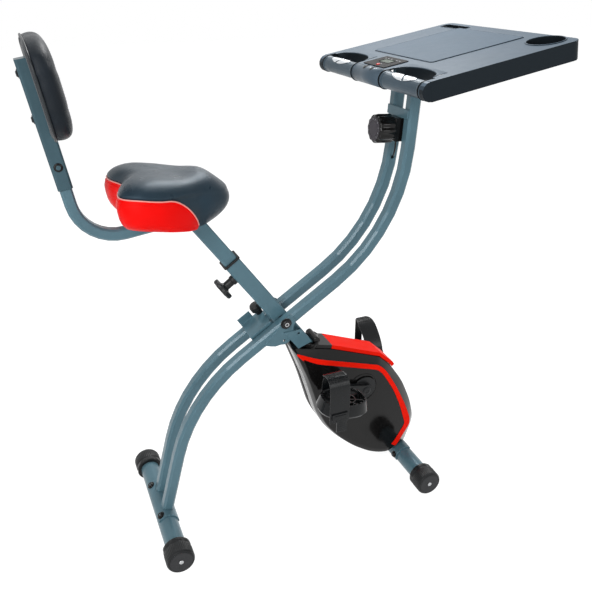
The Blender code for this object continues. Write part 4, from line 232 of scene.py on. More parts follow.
rubber = surface("rubber", (0.005, 0.006, 0.007), 0.24, grain=(800, 0.0002), mottle=0.12, level=0.24, wear_and_glint=0.5)
pedal_plastic = surface("pedal_plastic", (0.006, 0.007, 0.008), 0.2, grain=(600, 0.0002), wear_and_glint=0.9, level=0.22,
                        edge=0.001)
vinyl = surface("slate_vinyl", (0.011, 0.023, 0.035), 0.31, grain=(620, 0.0003), mottle=0.12, level=0.28,
                pattern="leather", tint=BLUE_GLINT)
pad_vinyl = surface("pad_vinyl", (0.007, 0.011, 0.016), 0.4, grain=(620, 0.00035), mottle=0.15, level=0.14,
                    pattern="leather")
red_vinyl = surface("red_vinyl", (0.86, 0.002, 0.001), 0.38, grain=(620, 0.0003), mottle=0.06, level=0.08,
                    pattern="leather")
# The piping's pale pink is a painted highlight on red piping
piping_red_highlight = surface("piping_red_highlight", (0.78, 0.3, 0.27), 0.34, level=0.3)
piping_dark = surface("piping_dark", (0.01, 0.013, 0.016), 0.4, level=0.3)
screen_glass = surface("screen_glass", (0.085, 0.125, 0.09), 0.1, grain=(200, 0.00001), mottle=0.05, level=0.1)
ink = surface("display_ink", (0.02, 0.026, 0.02), 0.4, grain=(400, 0.00001))
button_red = surface("button_red", (0.62, 0.02, 0.015), 0.35, level=0.3)
label_pale = surface("label_pale", (0.55, 0.58, 0.6), 0.45, grain=(500, 0.00002))
knob_face = surface("knob_face", (0.032, 0.028, 0.036), 0.55, grain=(900, 0.0003), level=0.3)
cap_face = surface("cap_face", (0.022, 0.023, 0.025), 0.6, grain=(900, 0.0004), level=0.3)

# The desk plastic has painted shade: faces that don't look up get a darker colour
DESK_PAINTED_SHADE_COLOUR = (0.013, 0.017, 0.021)
made = Nodes(desk_plastic)
upward_lit_share = made.spread(made.dot(made.coordinates["Normal"], tuple(DESK_UP)), 0.0, 1.0, 0.45, 0.75)
lit_paint = made.shader.inputs["Base Color"].links[0].from_socket
made.fill(made.shader, {"Base Color": made.blend(upward_lit_share, DESK_PAINTED_SHADE_COLOUR, lit_paint)})

# Finishes of the CAD nodes, named without their side; the rest are powder coated
FINISH_OF_NODE = (
    ("rear_cap front_cap pivot_bolt post_collar crank_arm crank_pulley lock_knob seat_knob tension_knob", black),
    ("housing housing_top_cap tension_body", gloss),
    ("housing_red_cover red_stripe", red),
    ("console_case", console_black),
    # The sleeve's darker powder is painted shade
    ("backrest_sleeve", powder_painted_shade),
    ("mode_button", button_red),
    ("desk_shell", desk_plastic),
    ("desk_mat", mat_plastic),
    ("grip", foam),
    ("pulse_plate", chrome),
    ("crank_bearing crank_axle flywheel_axle", steel),
    ("flywheel magnet_carrier", cast),
    ("belt tension_cable strap", rubber),
    ("pedal", pedal_plastic),
    ("seat_cushion backrest_pad", vinyl),
    ("seat_band", red_vinyl),
    ("console_screen", screen_glass),
)
chosen = {name: finish for names, finish in FINISH_OF_NODE for name in names.split()}
for name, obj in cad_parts.items():
    for held in obj.material_slots:
        held.material = chosen.get(name.removeprefix("right_").removeprefix("left_"), powder)


# Mesh helpers

def turns(count):
    """Even steps of one full turn."""
    return [2 * pi * i / count for i in range(count)]


def polar(radius, angle):
    return radius * cos(angle), radius * sin(angle)


def oval(half_x, half_y, steps, power):
    """An ellipse at power 2, and squarer above it."""
    points = []
    for angle in turns(steps):
        c, s = polar(1.0, angle)
        points.append((half_x * copysign(abs(c) ** (2 / power), c),
                       half_y * copysign(abs(s) ** (2 / power), s)))
    return points


def in_metres(outline):
    """An outline that is given in millimetres."""
    return [(x / 1000, y / 1000) for x, y in outline]


def smooth_step(value):
    value = min(max(value, 0.0), 1.0)
    return value * value * (3 - 2 * value)


def smooth_loop(points, steps, closed=True):
    """A Catmull-Rom curve through the points."""
    result = []
    count = len(points)
    for i in range(count if closed else count - 1):
        near = [i + k for k in (-1, 0, 1, 2)]
        near = [k % count if closed else min(max(k, 0), count - 1) for k in near]
        a, b, c, d = (Vector(points[k]) for k in near)
        for s in range(steps):
            t = s / steps
            result.append(0.5 * ((2 * b) + (c - a) * t + (2 * a - 5 * b + 4 * c - d) * t * t
                                 + (3 * b - 3 * c + d - a) * t * t * t))
    if not closed:
        result.append(Vector(points[-1]))
    return result


def placed(name, data):
    obj = bpy.data.objects.new(name, data)
    bpy.context.scene.collection.objects.link(obj)
    return obj


def piece(name, bm, finish, body, matrix=None, bevel=0.0, divide=0, angle=40.0, replaces=()):
    """A mesh piece that rides on a body, with an optional bevel and subdivision."""
    if matrix is not None:
        bm.transform(matrix)
    bmesh.ops.recalc_face_normals(bm, faces=bm.faces)
    mesh = bpy.data.meshes.new(name)
    bm.to_mesh(mesh)
    bm.free()
    mesh.materials.append(finish)
    mesh.shade_smooth()
    if divide == 0:
        mesh.set_sharp_from_angle(angle=radians(angle))
    obj = placed(name, mesh)
    if bevel > 0.0:
        configured(obj.modifiers.new("Bevel", "BEVEL"), width=bevel, segments=2, limit_method="ANGLE")
    if divide > 0:
        configured(obj.modifiers.new("Subdivision", "SUBSURF"), levels=divide, render_levels=divide)
    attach(obj, body)
    if replaces:
        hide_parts(*replaces)
    return obj


def skin(bm, rows, closed=True, caps=(0, -1)):
    """Faces between rows of points, and over the rows that caps names."""
    verts = [[bm.verts.new(point) for point in row] for row in rows]
    count = len(verts[0])
    for low, high in zip(verts, verts[1:]):
        for i in range(count if closed else count - 1):
            j = (i + 1) % count
            bm.faces.new((low[i], low[j], high[j], high[i]))
    for end in caps:
        bm.faces.new(verts[end])
    return verts


def add_box(bm, low, high, matrix=None):
    corners = [(x, y, z) for z in (low[2], high[2])
               for x, y in ((low[0], low[1]), (high[0], low[1]), (high[0], high[1]), (low[0], high[1]))]
    verts = [bm.verts.new(matrix @ Vector(corner) if matrix else corner) for corner in corners]
    for face in ((0, 3, 2, 1), (4, 5, 6, 7), (0, 1, 5, 4), (1, 2, 6, 5), (2, 3, 7, 6), (3, 0, 4, 7)):
        bm.faces.new([verts[i] for i in face])


def add_turned(bm, profile, sides, matrix, flutes=0, depth=0.0):
    """A turned form about local Z from (radius, along) pairs; flutes draw the radius in and out."""
    rows = []
    for radius, along in profile:
        rows.append([matrix @ Vector((*polar(radius * (1 - depth * (0.5 - 0.5 * cos(flutes * angle))), angle),
                                      along)) for angle in turns(sides)])
    skin(bm, rows)


def side_matrix(place, side):
    """Local Z points out of the right (-1) or left (+1) side at a place."""
    return moved(place) @ spin(-side * pi / 2, "X")


def tube_along(name, points, radius, finish, body, closed=False):
    """A round cord, piping or bead that follows points."""
    curve = configured(bpy.data.curves.new(name, "CURVE"), dimensions="3D", bevel_depth=radius, bevel_resolution=3,
                       use_fill_caps=True)
    spline = curve.splines.new("POLY")
    spline.points.add(len(points) - 1)
    for held, point in zip(spline.points, points):
        held.co = (*point, 1.0)
    spline.use_cyclic_u = closed
    curve.materials.append(finish)
    obj = placed(name, curve)
    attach(obj, body)


# Camera, stage and light

PHOTO_SIZE = 592.0
FOCAL_PIXELS = 669.61
SENSOR = 36.0
YAW = radians(22.771)
PITCH = radians(26.238)
EYE = Vector((-0.5944 + ORIGIN_X, -1.3754, 1.3139))

ahead = Vector((sin(YAW) * cos(PITCH), cos(YAW) * cos(PITCH), -sin(PITCH)))
right = Vector((cos(YAW), -sin(YAW), 0.0))
above = right.cross(ahead)
camera_data = configured(bpy.data.cameras.new("camera"), sensor_fit="HORIZONTAL", sensor_width=SENSOR,
                         lens=SENSOR * FOCAL_PIXELS / PHOTO_SIZE, clip_start=0.05)
camera = placed("camera", camera_data)
place = Matrix((right, above, -ahead)).transposed().to_4x4()
place.translation = EYE
camera.matrix_world = place
bpy.context.scene.camera = camera
bpy.context.scene.view_settings.view_transform = "Standard"

# Name, place, target, size and power of each lamp
LAMPS = (("key_light", (-1.6, -1.4, 2.2), (0.0, 0.0, 0.6), 1.0, 31.0),
         ("fill_light", (1.5, -2.4, 1.5), (0.0, 0.0, 0.5), 1.2, 11.0),
         ("top_light", (0.8, 1.5, 2.7), (-0.1, 0.0, 0.7), 1.2, 56.0),
         ("low_light", (-1.3, -2.0, 0.8), (-0.2, 0.0, 0.35), 1.0, 13.0))
for name, spot, target, size, power in LAMPS:
    obj = placed(name, configured(bpy.data.lights.new(name, "AREA"), shape="DISK", size=size, energy=power))
    obj.location = spot
    obj.rotation_euler = (Vector(target) - Vector(spot)).to_track_quat("-Z", "Y").to_euler()


def seen_directly(made):
    """1 where the camera, a reflection or a clear material looks at the surface."""
    path = made.add("LightPath")
    total = made.sum("ADD", path.outputs["Is Camera Ray"], path.outputs["Is Glossy Ray"])
    return made.sum("MINIMUM", made.sum("ADD", total, path.outputs["Is Transmission Ray"]), 1.0)


WORLD_LEVEL = 0.26
FLOOR_HALF, FLOOR_ROUGHNESS = 12.0, 0.8
FLOOR_COLOUR = (0.86, 0.86, 0.86)
FLOOR_GLOW = 0.935
FLOOR_DIMMING = 0.68

# The world lights at its own level and looks white
world = bpy.data.worlds.new("studio")
bpy.context.scene.world = world
made = Nodes(world)
lighting = made.tree.nodes["Background"]
made.fill(lighting, {"Color": WHITE, "Strength": WORLD_LEVEL})
backdrop = made.add("Background", {"Color": WHITE, "Strength": 1.0})
sky = made.mix(seen_directly(made), lighting.outputs[0], backdrop.outputs[0])
made.fill(made.tree.nodes["World Output"], {"Surface": sky})

# The floor is a dimmed pale surface, which holds the shadow, on a glow that only seen rays meet
floor_material = bpy.data.materials.new("floor_white")
made = Nodes(floor_material)
made.fill(made.shader, {"Base Color": FLOOR_COLOUR, "Roughness": FLOOR_ROUGHNESS})
glow = made.add("Emission", {"Strength": FLOOR_GLOW}).outputs[0]
dark = made.add("Emission", {"Strength": 0.0}).outputs[0]
seen = seen_directly(made)
pale = made.mix(made.sum("MULTIPLY", seen, FLOOR_DIMMING), made.shader.outputs[0], dark)
total = made.add("AddShader", {0: pale, 1: made.mix(seen, dark, glow)})
made.fill(made.tree.nodes["Material Output"], {"Surface": total.outputs[0]})
corners = [(x * FLOOR_HALF, y * FLOOR_HALF, 0.0) for x, y in ((-1, -1), (1, -1), (1, 1), (-1, 1))]
floor_mesh = bpy.data.meshes.new("floor")
floor_mesh.from_pydata(corners, [], [(0, 1, 2, 3)])
floor_mesh.materials.append(floor_material)
floor = placed("floor", floor_mesh)
floor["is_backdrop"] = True


# Seat

SEAT_MID_X = -0.310
SEAT_SEAM_Z = 0.903
SEAT_CROWN = 0.0285
SEAT_SKIRT_Z = 0.842
SEAT_NOSE_DROP = 0.018
SEAT_NOSE_BULGE = 0.085
SEAT_REAR_RISE = 0.009
SEAT_UNDER_NOSE_Z = 0.806
SEAT_SKIRT_SHARE = 0.955
SEAT_NOSE_SHARE = 0.545
SKIRT_DROPS = (0.0, 0.35, 0.75, 1.0)
SKIRT_BULGES = (0.0, 0.012, 0.004, 0.0)
BAND_THICK = 0.004
SEAM_TUCK, SEAM_TUCK_REACH = 0.045, 0.32
HEM_TUCK, HEM_START = 0.60, 0.72
BAND_FRONT_X = -0.262
SEAT_HALF = in_metres([
    (-410, 0), (-415, 20), (-429, 55), (-428, 94), (-395, 118), (-342, 118), (-296, 100), (-258, 79), (-222, 61),
    (-196, 38), (-185, 0)])


def nose_share(x):
    return smooth_step((x + 0.300) / 0.115)


def seam_height(x):
    return SEAT_REAR_RISE * smooth_step((-0.335 - x) / 0.075) - SEAT_NOSE_DROP * nose_share(x)


def skirt_point(point, drop, out):
    """A point on the cushion's side: drop 0 at the seam and 1 at the lower edge."""
    share = nose_share(point.x)
    lower = SEAT_SKIRT_SHARE * (1 - share) + SEAT_NOSE_SHARE * share
    for i in range(3):
        if drop <= SKIRT_DROPS[i + 1] or i == 2:
            along = (drop - SKIRT_DROPS[i]) / (SKIRT_DROPS[i + 1] - SKIRT_DROPS[i])
            bulge = SKIRT_BULGES[i] + (SKIRT_BULGES[i + 1] - SKIRT_BULGES[i]) * along
            break
    amount = 1.0 + (lower - 1.0) * drop ** 2 + bulge + SEAT_NOSE_BULGE * share * 4 * drop * (1 - drop)
    amount -= SEAM_TUCK * (1 - share) * (1 - min(drop / SEAM_TUCK_REACH, 1.0)) ** 1.6
    amount -= HEM_TUCK * (1 - share) * max(drop - HEM_START, 0.0) ** 2
    x = SEAT_MID_X + (point.x - SEAT_MID_X) * amount
    y = point.y * amount
    length = hypot(x - SEAT_MID_X, y)
    x += (x - SEAT_MID_X) / length * out
    y += y / length * out
    top = SEAT_SEAM_Z - 0.004 + seam_height(point.x)
    low = smooth_step((point.x + 0.425) / 0.235)
    bottom = SEAT_SKIRT_Z * (1 - low) + SEAT_UNDER_NOSE_Z * low
    return Vector((x, y, top + (bottom - top) * drop))


def top_point(point, amount):
    """A point of the crowned top, with a dip ahead of the middle and a raised crest behind the nose."""
    inner = amount * (1.0 - SEAM_TUCK * (1 - nose_share(point.x)))
    x = SEAT_MID_X + (point.x - SEAT_MID_X) * inner
    y = point.y * inner
    height = SEAT_SEAM_Z + seam_height(point.x) * amount ** 2 + SEAT_CROWN * (1 - amount ** 6.5)
    height -= 0.0065 * exp(-((x + 0.290) / 0.032) ** 2) * (1 - amount ** 4)
    height += 0.0028 * exp(-((x + 0.240) / 0.024) ** 2) * (1 - amount ** 3)
    height -= 0.0100 * smooth_step((x + 0.236) / 0.040) * (1 - amount ** 6.5)
    return Vector((x, y, height))


seat_line = smooth_loop(SEAT_HALF + [(x, -y) for x, y in reversed(SEAT_HALF[1:-1])], 5)
AMOUNTS = (0.16, 0.32, 0.48, 0.62, 0.74, 0.84, 0.90, 0.94, 0.97, 0.99)


def tuck(point):
    return -(BAND_THICK + 0.0022) * (1 - smooth_step((point.x - BAND_FRONT_X) / 0.020))


bm = bmesh.new()
rows = [[top_point(point, amount) for point in seat_line] for amount in AMOUNTS]
rows.append([top_point(point, 1.0) + Vector((0, 0, -0.0012)) for point in seat_line])
DROPS = (0.03, 0.10, 0.20, 0.35, 0.50, 0.64, 0.75, 0.88, 1.0)
rows += [[skirt_point(point, drop, tuck(point) * min(drop / 0.06, 1.0)) for point in seat_line] for drop in DROPS]
verts = skin(bm, rows, caps=())
peak = bm.verts.new(top_point(Vector((SEAT_MID_X, 0.0)), 0.0))
base = bm.verts.new((SEAT_MID_X, 0.0, SEAT_SKIRT_Z + 0.002))
for i in range(len(seat_line)):
    j = (i + 1) % len(seat_line)
    bm.faces.new((peak, verts[0][i], verts[0][j]))
    bm.faces.new((base, verts[-1][j], verts[-1][i]))
seat_top = piece("seat_padding", bm, vinyl, "seat", ROW_PLACE, divide=1, replaces=("seat_cushion",))

# The band covers the rear and sides and falls away towards the front of each side
BAND_TOP_DROP = 0.03
BAND_RUN_OUT = 0.078
count = len(seat_line)
front = [i for i in range(count) if seat_line[i].x > BAND_FRONT_X]
order = [i % count for i in range(max(front) - count + 1, min(front))]


def band_start(point):
    ahead_share = min(max((point.x - BAND_FRONT_X + BAND_RUN_OUT) / BAND_RUN_OUT, 0.0), 1.0)
    return BAND_TOP_DROP + 0.90 * ahead_share ** 2


bm = bmesh.new()
rows = []
for i in order:
    point = seat_line[i]
    start = band_start(point)
    drops = [start + (1.0 - start) * s / 7 for s in range(8)]
    puff = [0.0012 * sin(pi * s / 7) for s in range(8)]
    outer = [skirt_point(point, drop, swell) for drop, swell in zip(drops, puff)]
    inner = [skirt_point(point, drop, -BAND_THICK) for drop in reversed(drops)]
    rows.append(outer + inner)
skin(bm, rows)
band = piece("seat_side_band", bm, red_vinyl, "seat", ROW_PLACE, replaces=("seat_band",), angle=60)
edge = [skirt_point(seat_line[i], max(band_start(seat_line[i]) - 0.012, 0.0), 0.0002) for i in order]
# The pale piping colour is a painted highlight
tube_along("seat_piping", [ROW_PLACE @ point for point in edge], 0.0015, piping_red_highlight, "seat")
stitch = [skirt_point(seat_line[i], band_start(seat_line[i]) + 0.085, 0.0006) for i in order
          if seat_line[i].x < -0.285]
bm = bmesh.new()
for i in range(len(stitch) - 1):
    for part in (0.1, 0.6):
        a = stitch[i].lerp(stitch[i + 1], part)
        b = stitch[i].lerp(stitch[i + 1], part + 0.3)
        along = (b - a).normalized()
        turn = along.to_track_quat("X", "Z").to_matrix().to_4x4()
        turn.translation = (a + b) / 2
        add_box(bm, (-(b - a).length / 2, -0.0005, -0.0004), ((b - a).length / 2, 0.0005, 0.0004), turn)
piece("seat_stitching", bm, red_vinyl, "seat", ROW_PLACE, bevel=0.0002)

# Backrest pad: crowned front, soft sides, piping and two sewn channels
PAD_UP = 0.321
PAD_BACK = 0.004
PAD_THICK = 0.047
PAD_W, PAD_H, PAD_POWER = 0.140, 0.0925, 3.2


def pad_outline(scale, steps=64):
    return oval(PAD_W * scale, PAD_H * scale, steps, PAD_POWER)


bm = bmesh.new()
# Share of the outline and share of the thickness, from the back to the crown
PAD_LEVELS = ((0.05, 0.0), (0.80, 0.0), (0.93, 0.03), (0.975, 0.12), (0.995, 0.30), (1.0, 0.46), (0.99, 0.60),
              (0.965, 0.72), (0.92, 0.82), (0.85, 0.89), (0.74, 0.94), (0.58, 0.975), (0.36, 0.99), (0.12, 1.0))
rows = []
for scale, depth in PAD_LEVELS:
    row = []
    gather = 0.0055 * exp(-((depth - 0.13) / 0.12) ** 2)
    for index, (y, z) in enumerate(pad_outline(scale, 96)):
        x = PAD_BACK + PAD_THICK * depth
        pull = 1 - gather * (0.5 + 0.5 * cos(index * 2 * pi / 3) * sin(index * 1.7))
        crease = 0.0016 * sin(z * 210 + y * 30) * exp(-((z - 0.012) / 0.045) ** 2)
        pull -= crease / 0.12 * (1 if 0.08 < depth < 0.9 else 0)
        y, z = y * pull, z * pull
        if depth <= 0.031:
            x += 0.0125 * (1 - smooth_step((abs(y) - 0.0165) / 0.004))
        if depth > 0.7:
            x -= 0.0022 * exp(-((abs(z) - 0.036) / 0.006) ** 2) * (1 - scale ** 4)
        row.append((x, y, z))
    rows.append(row)
skin(bm, rows)
pad = piece("backrest_padding", bm, pad_vinyl, "seat", BACK_FRAME @ moved((0, 0, PAD_UP)), divide=1,
            replaces=("backrest_pad",))
edge = [BACK_FRAME @ Vector((PAD_BACK + PAD_THICK * 0.13, y, PAD_UP + z)) for y, z in pad_outline(0.985)]
tube_along("backrest_piping", edge, 0.0022, piping_dark, "seat", closed=True)


# Pedals and straps

PEDAL_HALF_X, PEDAL_HALF_Y, PEDAL_HALF_Z = 0.066, 0.051, 0.017
PEDAL_POWER = 2.5
PEDAL_PITCH = radians(-8.0)
STRAP_SHIFT = {-1: -0.034, 1: 0.010}
STRAP_RISE = 0.104
STRAP_SIDE = 0.0513
STRAP_HALF, STRAP_THICK = 0.026, 0.0024
BUCKLE_X = 0.006


def pedal_rows(levels, steps):
    """Rings of the pedal's outline from pairs of height and share."""
    return [[(x, y, z) for x, y in oval(PEDAL_HALF_X * share, PEDAL_HALF_Y * share, steps, PEDAL_POWER)]
            for z, share in levels]


def pedal_piece(word, side):
    bm = bmesh.new()
    thick = PEDAL_HALF_Z
    outside = ((-thick, 0.95), (-thick * 0.7, 1.0), (thick * 0.75, 0.905), (thick, 0.885))
    inside = ((thick, 0.83), (thick * 0.8, 0.80), (-thick * 0.6, 0.84), (-thick, 0.86))
    middle = ((-0.004, 0.50), (thick * 0.72, 0.50), (thick * 0.72, 0.44), (-0.004, 0.44), (-0.004, 0.50))
    skin(bm, pedal_rows(outside + inside + outside[:1], 48), caps=())
    skin(bm, pedal_rows(middle, 40), caps=())
    for i in range(10):
        angle = 2 * pi * (i + 0.5) / 10
        c, s = polar(1.0, angle)
        reach = 0.86 / hypot(c / PEDAL_HALF_X, s / PEDAL_HALF_Y)
        add_box(bm, (0.008, -0.0021, -0.010), (reach, 0.0021, thick * 0.66), spin(angle, "Z"))
    for angle in turns(26):
        c, s = polar(0.86, angle)
        spot = moved((PEDAL_HALF_X * c, PEDAL_HALF_Y * s, thick - 0.0005))
        add_box(bm, (-0.0028, -0.0011, 0.0), (0.0028, 0.0011, 0.0016), spot @ spin(angle, "Z"))
    add_turned(bm, [(0.0065, -0.0455), (0.0105, -0.0455), (0.0105, 0.0455), (0.0065, 0.0455)], 20, spin(pi / 2, "X"))
    place = moved(PEDALS[side]) @ spin(-PEDAL_PITCH, "Y")
    piece(word + "_pedal_platform", bm, pedal_plastic, word + "_pedal", place, bevel=0.0006,
          replaces=(word + "_pedal",))


def strap_path(side):
    base = -PEDAL_HALF_Z + 0.002
    points = [(-1, base), (-1, base + 0.020)]
    points += [(y, STRAP_RISE * z) for y, z in ((-0.93, 0.36), (-0.70, 0.57), (-0.33, 0.77), (0.08, 0.92),
                                                (0.45, 0.985), (0.74, 0.97), (0.93, 0.87), (1, 0.70))]
    points = [(STRAP_SIDE * y, z) for y, z in points + [(1, base + 0.020), (1, base)]]
    return [Vector((side * y, z)) for y, z in smooth_loop(points, 6, closed=False)]


def strap_piece(word, side):
    path = strap_path(side)
    bm = bmesh.new()
    rows = []
    normals = []
    for i, point in enumerate(path):
        along = (path[min(i + 1, len(path) - 1)] - path[max(i - 1, 0)]).normalized()
        normal = Vector((-along.y, along.x)) * side
        normals.append(normal)
        share = i / len(path)
        narrow = 0.55 * smooth_step((share - 0.42) / 0.40) if side > 0 else (
            0.58 * smooth_step((0.50 - share) / 0.30))
        shift = 0.0 if side > 0 else 0.011 * smooth_step((0.50 - share) / 0.30)
        wide = STRAP_HALF * (1.0 - 0.10 * exp(-(i / 7.0) ** 2) - narrow)
        far = point + normal * STRAP_THICK
        soft = point + normal * STRAP_THICK * 0.5
        rows.append([(shift + x, spot.x, spot.y) for x, spot in (
            (-wide, point), (wide, point), (wide + 0.0004, soft), (wide, far), (-wide, far), (-wide - 0.0004, soft))])
    skin(bm, rows)
    count = len(path)
    for start, end in ((0.50, 0.585), (0.615, 0.70)):
        for i in range(int(count * start), int(count * end)):
            middle = path[i].lerp(path[i + 1], 0.5) + normals[i] * (STRAP_THICK + 0.0003)
            length = (path[i + 1] - path[i]).length
            narrow = 0.55 * smooth_step((i / count - 0.42) / 0.40) if side > 0 else 0.0
            turn = moved((0.0, middle.x, middle.y)) @ spin(atan2(normals[i].y, normals[i].x) - pi / 2, "X")
            for across in range(9):
                x = (across - 4) * 0.0052 * (1 - narrow)
                add_box(bm, (x - 0.0014, -length * 0.52, -0.0006), (x + 0.0014, length * 0.52, 0.0010), turn)

    def block(x, half, inner, outer, low, high):
        """A box on the strap's outer side, from inner to outer off its face."""
        near, far = sorted(side * (STRAP_SIDE + STRAP_THICK + off) for off in (inner, outer))
        add_box(bm, (x - half, near, low), (x + half, far, high))

    block(BUCKLE_X, 0.014, -0.0022, 0.0016, -0.044, 0.004)
    for step in range(6):
        z = -0.041 + step * 0.006
        block(BUCKLE_X, 0.011, 0.0012, 0.0022, z, z + 0.0022)
    block(0.0, 0.021, -0.0002, 0.0036, -0.004, 0.012)
    block(0.0, 0.015, 0.003, 0.0052, 0.001, 0.0075)
    place = moved(PEDALS[side] + Vector((STRAP_SHIFT[side], 0.0, 0.0)))
    piece(word + "_foot_strap", bm, rubber, word + "_pedal", place, bevel=0.0005, replaces=(word + "_strap",))


for side, word in SIDES:
    pedal_piece(word, side)
    strap_piece(word, side)


# Small fittings

def screw_head(bm, matrix, radius, height, slot=0.35):
    inner = radius * slot
    add_turned(bm, [(0.0, 0.0), (radius, 0.0), (radius, height * 0.5), (radius * 0.75, height), (inner, height),
                    (inner * 0.8, height * 0.35), (0.0, height * 0.35)], 20, matrix)


for foot, body, word in FEET:
    bm = bmesh.new()
    for side in (-1, 1):
        screw_head(bm, side_matrix(foot + Vector((0, side * 0.2048, 0)), side), 0.0055, 0.0022)
    piece(word + "_cap_screws", bm, steel, body)
bm = bmesh.new()
for side in (-1, 1):
    out = side_matrix(PIVOT + Vector((0, side * 0.0600, 0)), side)
    rim = [polar(0.0056, angle) for angle in turns(24)]
    sixth = pi / 3
    hexagon = [polar(0.0030 / cos((angle + sixth / 2) % sixth - sixth / 2), angle) for angle in turns(24)]
    levels = ((rim, 1.0, 0.0), (rim, 0.93, 0.0010), (hexagon, 1.0, 0.0010), (hexagon, 1.0, 0.0003))
    skin(bm, [[out @ Vector((x * share, y * share, z)) for x, y in line] for line, share, z in levels], caps=(-1,))
piece("pivot_bolt_sockets", bm, steel, "desk_frame")

# Crank caps and the raised lip round each crank on the housing
for side, word in SIDES:
    bm = bmesh.new()
    screw_head(bm, side_matrix(CRANK + Vector((0, side * 0.0769, 0)), side), 0.0115, 0.0026, 0.5)
    piece(word + "_crank_cap", bm, black, "crank", bevel=0.0003)
    lip = []
    for angle in turns(56):
        x, z = polar(0.0395 + 0.006 * exp(-((angle - 2.3) / 0.5) ** 2) - 0.002 * cos(2 * angle), angle)
        lip.append(CRANK + Vector((x, side * 0.0604, z)))
    tube_along(word + "_crank_lip", lip, 0.0011, gloss, "drive_frame", closed=True)


# Desk edge bead, a paler strip that paints the highlight of the top edge; work panel lip, drink well ring, pen slot
# lip
def rounded_loop(low, high, radius, steps=6):
    corners = ((high[0], high[1], 0), (low[0], high[1], 90), (low[0], low[1], 180), (high[0], low[1], 270))
    points = []
    for x, y, start in corners:
        cx = x - copysign(radius, x - (low[0] + high[0]) / 2)
        cy = y - copysign(radius, y - (low[1] + high[1]) / 2)
        for i in range(steps + 1):
            dx, dy = polar(radius, radians(start + 90 * i / steps))
            points.append((cx + dx, cy + dy))
    return points


def on_desk(points):
    return [DESK_FRAME @ Vector(point) for point in points]


def desk_trim(name, loop, radius, height, finish=desk_plastic):
    tube_along(name, on_desk((x, y, height) for x, y in loop), radius, finish, "desk_frame", closed=True)


desk_trim("work_panel_lip", rounded_loop((0.0885, -0.1065), (0.3315, 0.1435), 0.0075), 0.0013, 0.0005)
well = [polar(0.0415, angle) for angle in turns(48)]
desk_trim("drink_well_ring", [(0.327 + x, -0.179 + y) for x, y in well], 0.0015, 0.0004)
desk_trim("pen_slot_lip", rounded_loop((0.327, 0.123), (0.354, 0.222), 0.006), 0.0011, -0.0002)

DESK_HALF, DESK_DEEP = 0.2403, 0.3706
BEAD_IN, BEAD_DOWN = 0.0016, 0.0019
edge = rounded_loop((0.004, -DESK_HALF + BEAD_IN), (DESK_DEEP - BEAD_IN, DESK_HALF - BEAD_IN), 0.0205)
edge = sorted((point for point in edge if point[0] > 0.03), key=lambda point: atan2(point[1], point[0] - 0.10))
edge = [(0.012, edge[0][1])] + edge + [(0.012, edge[-1][1])]
# The pale bead is a painted highlight along the top edge
tube_along("desk_edge_highlight_bead", on_desk((x, y, -BEAD_DOWN) for x, y in edge), 0.0014, rim_highlight_plastic, "desk_frame")
SKIRT_PANEL = ((0.026, -0.009), (0.120, -0.009), (0.126, -0.014), (0.126, -0.028), (0.120, -0.033),
               (0.026, -0.033), (0.018, -0.028), (0.018, -0.014))
for side, word in SIDES:
    face = side * (DESK_HALF - 0.0009)
    tube_along(word + "_skirt_panel", on_desk((x, face, z) for x, z in SKIRT_PANEL), 0.0007, desk_plastic,
               "desk_frame", closed=True)
    tube_along(word + "_skirt_line", on_desk((x, face, -0.0355) for x in (0.014, 0.12, 0.24, 0.352)), 0.0008,
               desk_plastic, "desk_frame")

# Far corners of the desk: the rounded skirt between the side walls and the far wall
CORNER_ROUND, SKIRT_DEEP, SKIRT_WALL = 0.022, 0.04, 0.003
CORNER_INSET, CORNER_TURN = 0.00012, 24
for side, word in SIDES:
    rows = []
    for i in range(-1, CORNER_TURN + 2):
        angle = pi / 2 * min(max(i / CORNER_TURN, 0.0), 1.0)
        run = -0.003 if i < 0 or i > CORNER_TURN else 0.0
        row = []
        for reach, z in ((CORNER_INSET, -0.0022), (CORNER_INSET, -SKIRT_DEEP + 0.0008),
                         (CORNER_INSET + 0.0008, -SKIRT_DEEP), (SKIRT_WALL - 0.0002, -SKIRT_DEEP),
                         (SKIRT_WALL - 0.0002, -0.0022)):
            radius = CORNER_ROUND - reach
            x = DESK_DEEP - CORNER_ROUND + radius * cos(angle) + (run if i > CORNER_TURN else 0.0)
            y = DESK_HALF - CORNER_ROUND + radius * sin(angle) + (run if i < 0 else 0.0)
            row.append((x, side * y, z))
        rows.append(row)
    bm = bmesh.new()
    skin(bm, rows)
    piece(word + "_skirt_corner", bm, desk_plastic, "desk_frame", DESK_FRAME, angle=30)

# Console: display digits, printed marks and a frame round the screen
bm = bmesh.new()
SEGMENTS = {"0": "abcdef", "1": "bc", "2": "abged", "5": "afgcd"}
PLACES = {"a": (0.5, 1.0, 0), "b": (1.0, 0.75, 1), "c": (1.0, 0.25, 1), "d": (0.5, 0.0, 0), "e": (0.0, 0.25, 1),
          "f": (0.0, 0.75, 1), "g": (0.5, 0.5, 0)}
for index, digit in enumerate("1250"):
    left_y = 0.0125 - index * 0.0072
    for letter in SEGMENTS[digit]:
        across, up, upright = PLACES[letter]
        y = left_y - across * 0.0042
        x = 0.0375 + up * 0.0085
        size = (0.0017, 0.00035) if upright else (0.00035, 0.0017)
        add_box(bm, (x - size[0], y - size[1], 0.0018), (x + size[0], y + size[1], 0.00192))
piece("display_digits", bm, ink, "desk_frame", DESK_FRAME)
bm = bmesh.new()
for y in (-0.030, -0.018, 0.006, 0.018, 0.030):
    add_box(bm, (0.0555, y - 0.0035, 0.00175), (0.0568, y + 0.0035, 0.00188))
add_box(bm, (0.0225, -0.0100, 0.00175), (0.0234, -0.0020, 0.00188))
